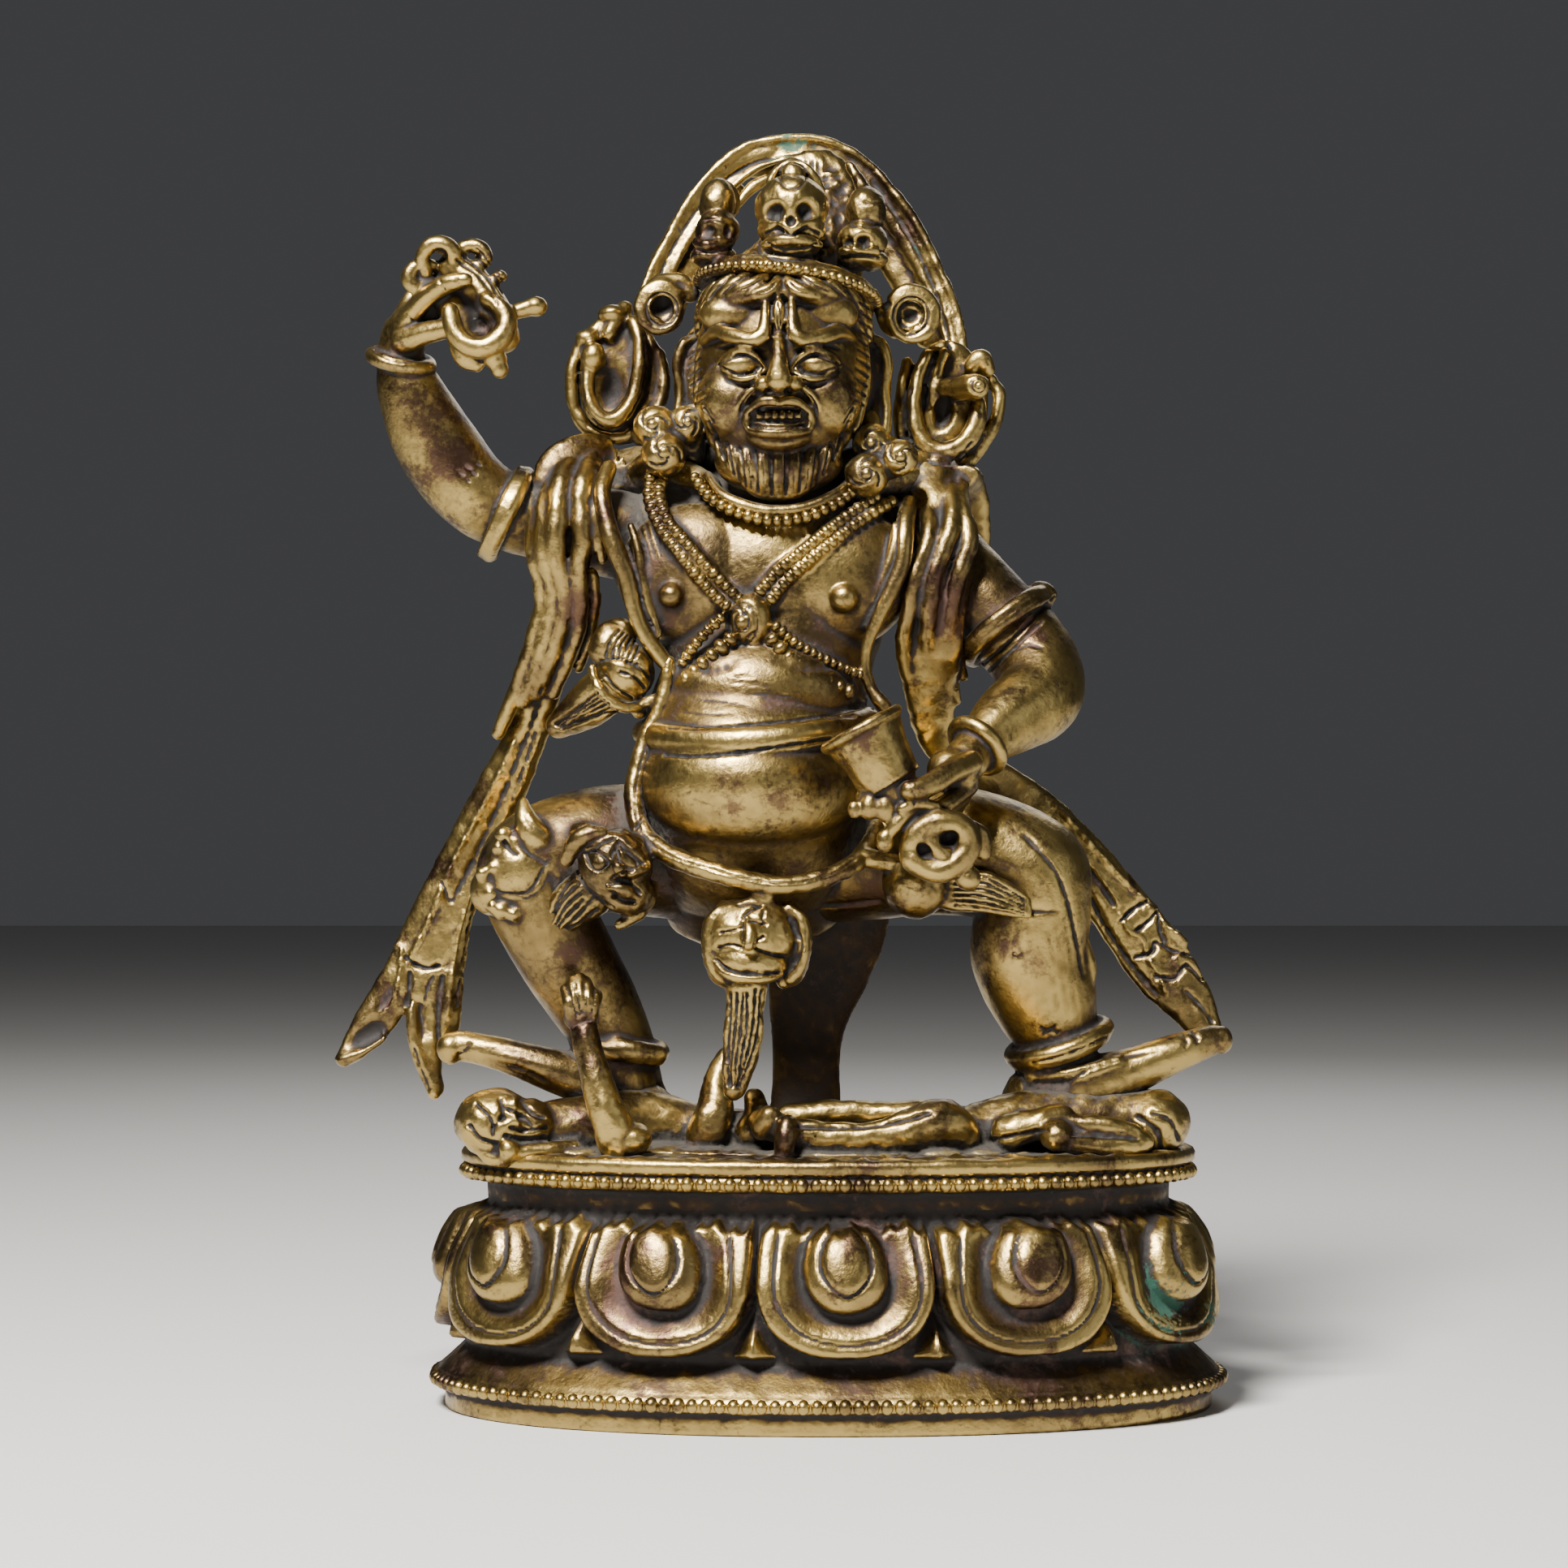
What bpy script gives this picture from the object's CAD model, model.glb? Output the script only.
import math

import bmesh
import bpy
import numpy as np
from mathutils import Euler, Matrix, Vector


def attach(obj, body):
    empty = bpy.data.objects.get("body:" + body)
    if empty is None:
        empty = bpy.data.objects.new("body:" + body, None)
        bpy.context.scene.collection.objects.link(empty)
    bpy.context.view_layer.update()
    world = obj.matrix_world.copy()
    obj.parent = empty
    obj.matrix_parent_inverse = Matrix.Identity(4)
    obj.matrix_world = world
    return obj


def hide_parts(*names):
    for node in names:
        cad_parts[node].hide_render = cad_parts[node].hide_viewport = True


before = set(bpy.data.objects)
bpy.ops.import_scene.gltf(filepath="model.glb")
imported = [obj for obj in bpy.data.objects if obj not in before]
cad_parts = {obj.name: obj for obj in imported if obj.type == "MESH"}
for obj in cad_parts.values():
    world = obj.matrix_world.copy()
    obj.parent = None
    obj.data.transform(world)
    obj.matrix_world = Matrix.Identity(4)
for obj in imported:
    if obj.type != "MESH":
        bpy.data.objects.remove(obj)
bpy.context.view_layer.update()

print("frame loaded")

# A small cast brass guardian on a lotus pedestal. Shapes are drawn in millimetres and made
# metres at the end. The front faces -Y. Flat drawings lie in the picture plane, Y = 0.

studio = {
    "eye": (-6.0, -450.0, 72.0),
    "lens": 75.5,
    "tiltUp": 1.54,
    "key": {"place": (-175, -360, 510), "size": 170, "power": 14.5, "colour": (1.0, 0.97, 0.92)},
    "fill": {"place": (520, -380, 220), "size": 420, "power": 0.4, "colour": (0.93, 0.96, 1.0)},
    "back": {"place": (120, 520, 480), "size": 420, "power": 1.0, "colour": (1.0, 1.0, 1.0)},
    "room": (0.070, 0.071, 0.074),
    "roomStrength": 0.75,
    "aim": (0, 0, 90),
    "floor": (0.60, 0.59, 0.575),
    "floorRoughness": 0.8,
    "floorHalf": 4000,
}

# The picture plane: what lies in its middle, and how finely it is drawn
lensX, lensY, lensZ = studio["eye"]
middleU, middleV = 966, 1075
stepsPerMillimetre = 9


def smoothStations(stations, steps):
    # more stations, on one smooth curve through the given ones
    given = [tuple(float(n) for n in s) for s in stations]
    ends = np.array([given[0], *given, given[-1]])
    found = []
    for a, b, c, d in zip(ends, ends[1:], ends[2:], ends[3:]):
        for i in range(steps):
            t = i / steps
            square = (2 * a - 5 * b + 4 * c - d) * t * t
            found.append(0.5 * (2 * b + (c - a) * t + square + (3 * b - a - 3 * c + d) * t ** 3))
    found.append(ends[-1])
    return np.array(found)


def sketch(left, top, scale):
    # an enlarged drawing of one region: its points in the picture plane, in millimetres
    def place(*points):
        return [(lensX + (left + u / scale - middleU) / stepsPerMillimetre,
                 lensZ - (top + v / scale - middleV) / stepsPerMillimetre) for u, v in points]
    return place


def solidPoints(drawing, stations):
    # u, v, depth and sizes on a drawing, made x, y, z and sizes in the round
    found = []
    for u, v, y, *sizes in stations:
        x, z = drawing((u, v))[0]
        k = (y - lensY) / -lensY
        found.append((lensX + (x - lensX) * k, y, lensZ + (z - lensZ) * k, *sizes))
    return found


whole = sketch(0, 0, 1)
headDrawing = sketch(700, 150, 2.679)
chestDrawing = sketch(620, 540, 2.083)
rightLegDrawing = sketch(400, 960, 3.125)
leftLegDrawing = sketch(840, 960, 2.143)
hairDrawing = sketch(690, 140, 1.786)
rightShoulderDrawing = sketch(590, 540, 2.7027)
leftShoulderDrawing = sketch(1000, 560, 2.7778)
bellDrawing = sketch(990, 850, 3.5714)
kneeHeadDrawing = sketch(660, 1000, 5.882)
middleHeadDrawing = sketch(860, 1080, 5.882)
handDrawing = sketch(440, 270, 2.209)


# Wax shapes

def unitBall(subdivisions):
    mesh = bmesh.new()
    bmesh.ops.create_icosphere(mesh, subdivisions=subdivisions, radius=1.0)
    found = [v.co.copy() for v in mesh.verts], [tuple(v.index for v in f.verts) for f in mesh.faces]
    mesh.free()
    return found


smallBall, largeBall = unitBall(3), unitBall(5)


class Wax:
    # closed shells that overlap, until they are fused

    def __init__(self):
        self.points = []
        self.faces = []

    def tube(self, rings, around=False):
        base = len(self.points)
        count = len(rings[0])
        for ring in rings:
            self.points.extend(ring)
        last = len(rings) if around else len(rings) - 1
        for r in range(last):
            low = base + r * count
            high = base + ((r + 1) % len(rings)) * count
            for k in range(count):
                n = (k + 1) % count
                self.faces.append((low + k, low + n, high + n, high + k))
        if not around:
            self.faces.append(tuple(base + k for k in reversed(range(count))))
            self.faces.append(tuple(base + (len(rings) - 1) * count + k for k in range(count)))

    def band(self, stations, facing=(0, -1, 0), sides=14, steps=5, flat=False):
        # x, y, z, half width, half thickness; its ends are round, or flat
        thickest = max(max(s[3:5]) for s in stations)
        longest = max(math.dist(a[:3], b[:3]) for a, b in zip(stations, stations[1:]))
        if thickest > 2.5:
            sides = max(sides, round(11 * thickest))
            steps = max(steps, round(longest / 0.7))
        path = smoothStations(stations, steps)
        facing = Vector(facing)
        points = [Vector(s[:3]) for s in path]
        side = None
        frames = []
        for i, station in enumerate(path):
            tangent = (points[min(i + 1, len(points) - 1)] - points[max(i - 1, 0)]).normalized()
            across = tangent.cross(facing)
            if across.length < 0.35:
                across = side if side is not None else tangent.cross(Vector((0.3, 0.2, 1)))
                across = across - tangent * across.dot(tangent)
            across.normalize()
            if side is not None and across.dot(side) < 0:
                across = -across
            side = across
            halfWidth, halfThickness = max(station[3], 0.1), max(station[4], 0.1)
            frames.append((points[i], across, across.cross(tangent), halfWidth, halfThickness, tangent))
        caps = [(math.sin(math.radians(a)), math.cos(math.radians(a))) for a in (80, 60, 30)]
        first, last = frames[0], frames[-1]
        round0, round1 = min(first[3:5]), min(last[3:5])
        start = [(first[0] - first[5] * round0 * s, first[1], first[2], first[3] * c, first[4] * c, None)
                 for s, c in caps]
        end = [(last[0] + last[5] * round1 * s, last[1], last[2], last[3] * c, last[4] * c, None)
               for s, c in reversed(caps)]
        turns = [(math.cos(2 * math.pi * k / sides), math.sin(2 * math.pi * k / sides)) for k in range(sides)]
        self.tube([
            [p + across * w * c + front * d * s for c, s in turns]
            for p, across, front, w, d, _ in (frames if flat else start + frames + end)
        ])

    def rod(self, stations, sides=12, steps=5):
        # x, y, z, radius
        self.band([(*s, s[3]) for s in stations], sides=sides, steps=steps)

    def bandOn(self, drawing, stations, **more):
        self.band(solidPoints(drawing, stations), **more)

    def rodOn(self, drawing, stations, **more):
        self.rod(solidPoints(drawing, stations), **more)

    def ballOn(self, drawing, station, radii, turn=(0, 0, 0)):
        self.ball(solidPoints(drawing, [station])[0], radii, turn)

    def ball(self, centre, radii, turn=(0, 0, 0)):
        spin = Euler([math.radians(a) for a in turn]).to_matrix()
        base = len(self.points)
        points, faces = largeBall if max(radii) > 4 else smallBall
        for p in points:
            self.points.append(spin @ Vector([c * r for c, r in zip(p, radii)]) + Vector(centre))
        self.faces.extend(tuple(base + i for i in f) for f in faces)

    def hoop(self, centre, axis, radius, thickness, squash=1.0, count=32):
        axis = Vector(axis).normalized()
        helper = Vector((0, 0, 1)) if abs(axis.z) < 0.9 else Vector((0, 1, 0))
        first = axis.cross(helper).normalized()
        second = axis.cross(first)
        rings = []
        for i in range(count):
            a = 2 * math.pi * i / count
            out = first * math.cos(a) + second * math.sin(a) * squash
            middle = Vector(centre) + out * radius
            out.normalize()
            turns = (2 * math.pi * k / 10 for k in range(10))
            rings.append([middle + (out * math.cos(b) + axis * math.sin(b)) * thickness for b in turns])
        self.tube(rings, around=True)


def makeMesh(name, points, faces):
    data = bpy.data.meshes.new(name)
    data.from_pydata(points, [], faces)
    mesh = bmesh.new()
    mesh.from_mesh(data)
    bmesh.ops.recalc_face_normals(mesh, faces=mesh.faces[:])
    mesh.to_mesh(data)
    mesh.free()
    return data


smallestShell = 1.0


def dropPockets(data):
    # outer skins stay, the small spaces sealed inside them go
    mesh = bmesh.new()
    mesh.from_mesh(data)
    left = set(mesh.verts)
    pockets = []
    while left:
        shell = [left.pop()]
        for vert in shell:
            for edge in vert.link_edges:
                other = edge.other_vert(vert)
                if other in left:
                    left.discard(other)
                    shell.append(other)
        faces = {face for vert in shell for face in vert.link_faces}
        volume = sum(face.calc_area() * face.normal.dot(face.calc_center_median()) for face in faces) / 3
        if volume < smallestShell:
            pockets.extend(shell)
    if pockets:
        bmesh.ops.delete(mesh, geom=pockets, context="VERTS")
        mesh.to_mesh(data)
    mesh.free()


def evaluatedMesh(thing):
    bpy.context.view_layer.update()
    graph = bpy.context.evaluated_depsgraph_get()
    return bpy.data.meshes.new_from_object(thing.evaluated_get(graph))


def fuse(name, wax, plan):
    # one skin over all the wax, in millimetres, as uneven as handwork
    thing = bpy.data.objects.new(name, makeMesh(name, wax.points, wax.faces))
    bpy.context.scene.collection.objects.link(thing)
    remesh = thing.modifiers.new("fuse", "REMESH")
    remesh.mode = "VOXEL"
    remesh.voxel_size = plan["grain"]
    smooth = thing.modifiers.new("soften", "SMOOTH")
    smooth.factor = 0.5
    smooth.iterations = 2
    data = evaluatedMesh(thing)
    bpy.data.objects.remove(thing, do_unlink=True)
    dropPockets(data)
    data.name = name
    skin = Skin(name, data, plan["triangles"])
    for amount, size, seed in plan["handwork"]:
        skin.handwork(amount, size, seed)
    print(name, len(data.polygons), "faces")
    return skin


def waves(points, size, seed):
    # soft lumps between about -1 and 1, the given size apart
    chance = np.random.default_rng(seed)
    total = np.zeros(len(points))
    for _ in range(9):
        k = chance.normal(size=3)
        k *= 2 * math.pi / size / np.linalg.norm(k) * chance.uniform(0.6, 1.5)
        total += np.sin(points @ k + chance.uniform(0, 2 * math.pi))
    return total / 3.0


skins = []


class Skin:
    # a mesh with the marks that are pressed into it

    def __init__(self, name, data, triangles=None):
        self.name = name
        self.data = data
        self.triangles = triangles
        self.co = np.empty(len(data.vertices) * 3)
        data.vertices.foreach_get("co", self.co)
        self.co = self.co.reshape(-1, 3)
        self.dark = np.zeros(len(self.co))
        self.dustShare = 1.0
        self.refresh()
        skins.append(self)

    def refresh(self):
        self.data.vertices.foreach_set("co", self.co.ravel())
        self.data.update()
        normal = np.empty(len(self.co) * 3, np.float32)
        self.data.vertex_normals.foreach_get("vector", normal)
        self.normal = normal.reshape(-1, 3).astype(float)
        eye = np.array(studio["eye"])
        depth = ((self.co[:, 1] - eye[1]) / -eye[1])[:, None]
        flat = self.co[:, [0, 2]] - eye[[0, 2]]
        self.plane = eye[[0, 2]] + flat / depth
        sight = self.co - eye
        sight /= np.linalg.norm(sight, axis=1)[:, None]
        self.facing = -(sight * self.normal).sum(1)
        self.move = np.zeros(len(self.co))

    def settle(self):
        self.co += self.normal * self.move[:, None]
        self.refresh()

    def reach(self, low, high, back, near):
        flat = self.co[:, [0, 2]] if back else self.plane
        facing = self.normal[:, 1] if back else self.facing
        pick = (flat > low).all(1) & (flat < high).all(1) & (facing > 0.06)
        if near is not None:
            pick &= (self.co[:, 1] > near[0]) & (self.co[:, 1] < near[1])
        pick = np.nonzero(pick)[0]
        return pick, flat[pick]

    def line(self, path, width, depth, back=False, near=None, taper=0.0, steps=4, shape=2.0):
        # pressed in where depth is above 0, raised where it is below
        line = smoothStations(path, steps)
        pick, flat = self.reach(line.min(0) - 3 * width, line.max(0) + 3 * width, back, near)
        if not len(pick):
            return
        spans = np.linalg.norm(np.diff(line, axis=0), axis=1)
        marks = np.concatenate([[0], np.cumsum(spans)])
        best = np.full(len(pick), 1e9)
        along = np.zeros(len(pick))
        for a, b, start, span in zip(line, line[1:], marks, spans):
            step = b - a
            share = np.clip(((flat - a) @ step) / max(step @ step, 1e-9), 0, 1)
            off = np.linalg.norm(flat - a - share[:, None] * step, axis=1)
            nearer = off < best
            best[nearer] = off[nearer]
            along[nearer] = (start + share[nearer] * span) / marks[-1]
        walk = along * marks[-1] + 3.7 * line[0, 0] + 2.3 * line[0, 1]
        strength = 1 + 0.20 * np.sin(walk * 1.7) + 0.14 * np.sin(walk * 4.3 + 1.0)
        fall = np.exp(-(best / (width * (0.82 + 0.18 * strength))) ** shape) * strength
        if taper:
            fall *= np.clip(np.minimum(along, 1 - along) / taper, 0, 1) ** 0.6
        self.move[pick] -= depth * fall
        if depth > 0:
            self.dark[pick] = np.maximum(self.dark[pick], fall * min(1.0, depth / 0.6))

    def lines(self, paths, width, depth, **more):
        for path in paths:
            self.line(path, width, depth, **more)

    def comb(self, first, last, count, width, depth, stray=0.0, seed=1, **more):
        # lines side by side, from the first path to the last
        chance = np.random.default_rng(seed)
        first, last = np.array(first, float), np.array(last, float)
        for k in range(count):
            share = k / max(count - 1, 1)
            path = first * (1 - share) + last * share
            self.line(path + chance.normal(size=path.shape) * stray, width, depth, **more)

    def dent(self, centre, size, depth, turn=0.0, shape=3.0, back=False, near=None, shade=1.0):
        centre = np.array(centre)
        reach = max(size) * 1.7
        pick, flat = self.reach(centre - reach, centre + reach, back, near)
        if not len(pick):
            return
        a = math.radians(turn)
        off = flat - centre
        u = (off[:, 0] * math.cos(a) + off[:, 1] * math.sin(a)) / size[0]
        v = (off[:, 1] * math.cos(a) - off[:, 0] * math.sin(a)) / size[1]
        fall = np.exp(-np.hypot(u, v) ** shape)
        self.move[pick] -= depth * fall
        if depth > 0:
            self.dark[pick] = np.maximum(self.dark[pick], fall * min(1.0, depth / 0.8) * shade)

    def ring(self, centre, radius, width, depth, squash=1.0, **more):
        angles = [2 * math.pi * k / 16 for k in range(17)]
        self.line([(centre[0] + radius * math.cos(a), centre[1] + radius * squash * math.sin(a))
                   for a in angles], width, depth, steps=2, **more)

    def handwork(self, amount, size, seed):
        self.move += amount * waves(self.co, size, seed)


# Torso: trunk, belly, neck, robe edges and belt. The necklaces' strands lie on it.

necklacePlan = {"collarBeads": [(856, 588, -8.8), (878, 614, -11.6), (912, 632, -12.9), (953, 641, -13.3),
    (993, 636, -13.0), (1032, 619, -11.6), (1055, 600, -9.0)],
    "strands": {"right_outer": {"drawing": rightShoulderDrawing, "cord": 0.85, "kind": "strand",
    "path": [(576, 112, -7.6), (566, 200, -10.2), (600, 290, -11.7), (660, 372, -12.7), (722, 450, -13.2),
    (785, 522, -13.5), (825, 556, -13.6)]}, "right_inner": {"drawing": rightShoulderDrawing, "cord": 0.85,
    "kind": "strand", "path": [(608, 132, -8.0), (600, 190, -10.4), (632, 276, -12.0), (692, 348, -12.9),
    (756, 420, -13.3), (820, 488, -13.5), (868, 535, -13.6)]}, "left_lower": {"drawing": whole,
    "cord": 0.85, "kind": "strand", "path": [(1099, 617, -7.4), (1054, 646, -11.2), (1007, 682, -12.9),
    (972, 712, -13.5), (950, 738, -13.7)]}, "left_upper": {"drawing": whole, "cord": 0.85, "kind": "strand",
    "path": [(1079, 612, -8.0), (1036, 641, -11.6), (1000, 669, -12.9), (962, 700, -13.5),
    (936, 728, -13.7)]}, "right_low": {"drawing": rightShoulderDrawing, "cord": 0.8, "kind": "lowStrand",
    "path": [(838, 668, -14.2), (790, 712, -14.0), (742, 758, -13.4), (696, 800, -12.4)]},
    "right_low_fine": {"drawing": rightShoulderDrawing, "cord": 0.65, "kind": "fineStrand",
    "path": [(806, 598, -13.9), (762, 640, -13.6), (716, 692, -13.0), (680, 745, -12.0)]},
    "left_low": {"drawing": chestDrawing, "cord": 0.8, "kind": "lowStrand", "path": [(690, 515, -14.2),
    (735, 565, -14.0), (790, 605, -13.4), (850, 632, -12.4), (885, 650, -11.4)]},
    "left_low_fine": {"drawing": chestDrawing, "cord": 0.65, "kind": "fineStrand",
    "path": [(700, 482, -14.0), (750, 525, -13.6), (815, 562, -12.8), (880, 592, -11.8),
    (915, 606, -11.0)]},},}

torsoPlan = {"grain": 0.32, "handwork": [(0.03, 7.0, 3), (0.012, 1.6, 4)], "triangles": 100000}


def makeTorso():
    wax = Wax()
    wax.band([
        (-9.3, 1, 126.4, 12.0, 4.5), (-9.3, 0, 122.0, 19.0, 8.0), (-9.2, -1, 115.0, 20.5, 10.5),
        (-8.8, -1, 108.0, 18.0, 11.0), (-8.5, -2, 102.0, 15.4, 10.8), (-8.6, -2.4, 98.0, 14.2, 11.2),
        (-9.8, -4, 91.0, 15.2, 14.0), (-10.5, -5, 84.0, 16.0, 16.0), (-10.4, -3, 76.0, 15.5, 14.0),
        (-10.2, 0, 70.0, 13.5, 9.5),
    ], sides=40)
    wax.ball((-10.4, -8.5, 83.6), (15.4, 14.8, 11.2))
    wax.ball((-9.2, -7.6, 95.6), (13.0, 9.4, 9.0))
    wax.ball((-8.6, -5.4, 108.0), (13.5, 6.6, 11.5))
    for x in (-17.0, 0.2):
        wax.ball((x, -6.8, 112.0), (11.4, 5.6, 10.2))
    wax.ball((-8.4, -4.6, 111.5), (13.0, 8.1, 13.0))
    wax.ball((-8.2, -4.6, 116.0), (13.0, 7.3, 8.5))
    wax.ball((-21.0, -11.6, 109.0), (1.75, 1.9, 1.75))
    wax.ball((2.0, -11.6, 108.6), (2.0, 2.0, 2.0))
    wax.rod([(-7.2, -3, 131, 6.6), (-7.6, -2, 123, 7.6)], sides=20)
    # cloth heaped round the neck
    wax.rod([(-24.0, -1.0, 126.2, 2.4), (-19.6, -5.0, 125.8, 2.2), (-16.0, -7.6, 124.2, 1.5)], sides=14)
    wax.rod([(-21.5, 3.0, 128.0, 2.4), (-17.0, 0.4, 128.6, 2.6), (-12.0, -2.0, 127.6, 2.2)], sides=14)
    wax.rod([(13.5, -1.0, 125.6, 2.4), (8.4, -4.6, 125.4, 2.2), (4.2, -7.2, 123.6, 1.5)], sides=14)
    wax.rod([(12.0, 3.0, 127.0, 2.4), (6.0, 0.4, 128.2, 2.6), (0.4, -2.0, 127.2, 2.2)], sides=14)
    wax.rod([(-29.5, 2.0, 127.4, 2.6), (-25.6, 0.0, 127.8, 2.7), (-22.4, -2.6, 127.0, 2.4)], sides=20)
    wax.rod([(17.8, 2.0, 126.8, 2.4), (14.0, 0.0, 127.6, 2.6), (9.8, -2.4, 126.6, 2.4)], sides=20)
    # robe edges on the chest, rolled
    r, l = rightShoulderDrawing, leftShoulderDrawing
    wax.rodOn(r, [
        (432, 95, -6.4, 1.15), (408, 180, -9.4, 1.3), (428, 290, -10.8, 1.35), (455, 370, -11.2, 1.35),
        (492, 460, -11.2, 1.25), (512, 550, -11.0, 1.15), (545, 640, -10.8, 1.1), (600, 720, -10.6, 1.1),
        (645, 775, -10.6, 1.0)], sides=14)
    wax.rodOn(r, [(505, 290, -10.4, 0.5), (528, 360, -10.9, 0.65), (542, 450, -11.0, 0.65),
        (562, 540, -10.8, 0.6), (600, 650, -10.6, 0.5)])
    wax.rodOn(l, [
        (336, 165, -6.4, 1.2), (322, 230, -9.4, 1.35), (316, 300, -10.8, 1.4), (308, 380, -11.2, 1.25),
        (270, 470, -11.2, 1.15), (228, 560, -11.0, 1.0), (194, 640, -10.8, 0.85), (184, 720, -10.6, 0.8),
        (204, 800, -10.6, 0.9), (246, 860, -11.0, 1.1)], sides=14)
    wax.rodOn(l, [(285, 240, -10.2, 0.5), (278, 310, -10.9, 0.6), (258, 400, -11.2, 0.6),
        (216, 500, -11.0, 0.5)])
    # rolled belt
    wax.band([(-25.2, -7, 91.0, 1.6, 1.3), (-21.8, -15.0, 89.8, 1.9, 1.4), (-15.0, -20.0, 88.9, 2.1, 1.5),
              (-7.4, -21.2, 89.2, 2.0, 1.5), (-0.6, -18.0, 90.6, 1.8, 1.4), (5.6, -8, 92.8, 1.6, 1.3)])
    # necklace cords, flat on the chest
    w = whole
    wax.rodOn(w, [(872, 585, -8.4, 0.7), (884, 604, -10.6, 0.8), (903, 617, -12.0, 0.85),
        (942, 628, -12.6, 0.85), (990, 625, -12.4, 0.85), (1030, 608, -11.0, 0.8), (1050, 590, -8.6, 0.7)])
    for line in necklacePlan["strands"].values():
        wax.rodOn(line["drawing"], [(u, v, y + 0.35, line["cord"]) for u, v, y in line["path"]])
    wax.ball((-10.4, -13.6, 105.6), (2.75, 2.1, 3.6))
    skin = fuse("torso", wax, torsoPlan)
    d = chestDrawing
    # boss of the necklaces
    boss = r((872, 612))[0]
    skin.ring(boss, 1.15, 0.17, 0.4)
    skin.dent(boss, (0.62, 0.62), -0.35)
    skin.ring((boss[0] + 0.3, boss[1] - 0.3), 2.1, 0.16, 0.3, squash=1.35)
    skin.lines([r((852, 552), (872, 570), (884, 590)), r((905, 556), (888, 575), (884, 590)),
                r((930, 640), (905, 655), (880, 690))], 0.16, 0.35, taper=0.2)
    # belt's seams, midriff folds, belly scratches
    skin.line(d((425, 742), (480, 744), (560, 742), (700, 728), (820, 715), (900, 712)), 0.22, 0.32)
    skin.line(d((415, 812), (480, 815), (600, 808), (700, 794), (840, 772)), 0.26, 0.5)
    # crease of the breast
    skin.line(d((460, 560), (500, 590), (560, 592), (610, 560)), 0.7, 0.22, taper=0.3)
    skin.line(d((700, 560), (760, 590), (830, 588), (880, 560)), 0.7, 0.22, taper=0.3)
    skin.lines([d((560, 622), (620, 628), (690, 640)), d((620, 655), (700, 660), (760, 668)),
                d((575, 605), (600, 612), (640, 612)), d((440, 700), (520, 708), (600, 706)),
                d((480, 672), (560, 676), (640, 690))], 0.13, 0.13, taper=0.3)
    chance = np.random.default_rng(11)
    for _ in range(26):
        u, v = chance.uniform(420, 860), chance.uniform(820, 1060)
        slope = chance.uniform(-30, 30)
        skin.line(d((u, v), (u + chance.uniform(20, 60), v + slope)), 0.09, 0.07, taper=0.4)
    # cloth under the robe edges
    skin.comb(r((470, 120), (500, 230), (545, 330), (575, 430)), r((540, 150), (560, 240), (590, 330),
        (610, 400)), 3, 0.22, 0.12, taper=0.2)
    skin.line(r((462, 130), (448, 210), (470, 300), (500, 380), (530, 470), (548, 560), (590, 650)), 0.18,
        0.32)
    skin.line(l((296, 200), (292, 270), (284, 350), (246, 440), (205, 530)), 0.18, 0.3)
    skin.lines([l((150, 840), (200, 860), (240, 880)), l((170, 790), (190, 840), (230, 870))], 0.2, 0.3,
        taper=0.3)
    skin.settle()


# Raised arm with the scepter

raisedArmPlan = {"grain": 0.27, "handwork": [(0.05, 5.0, 5), (0.012, 1.3, 6)], "triangles": 55000}


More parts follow.
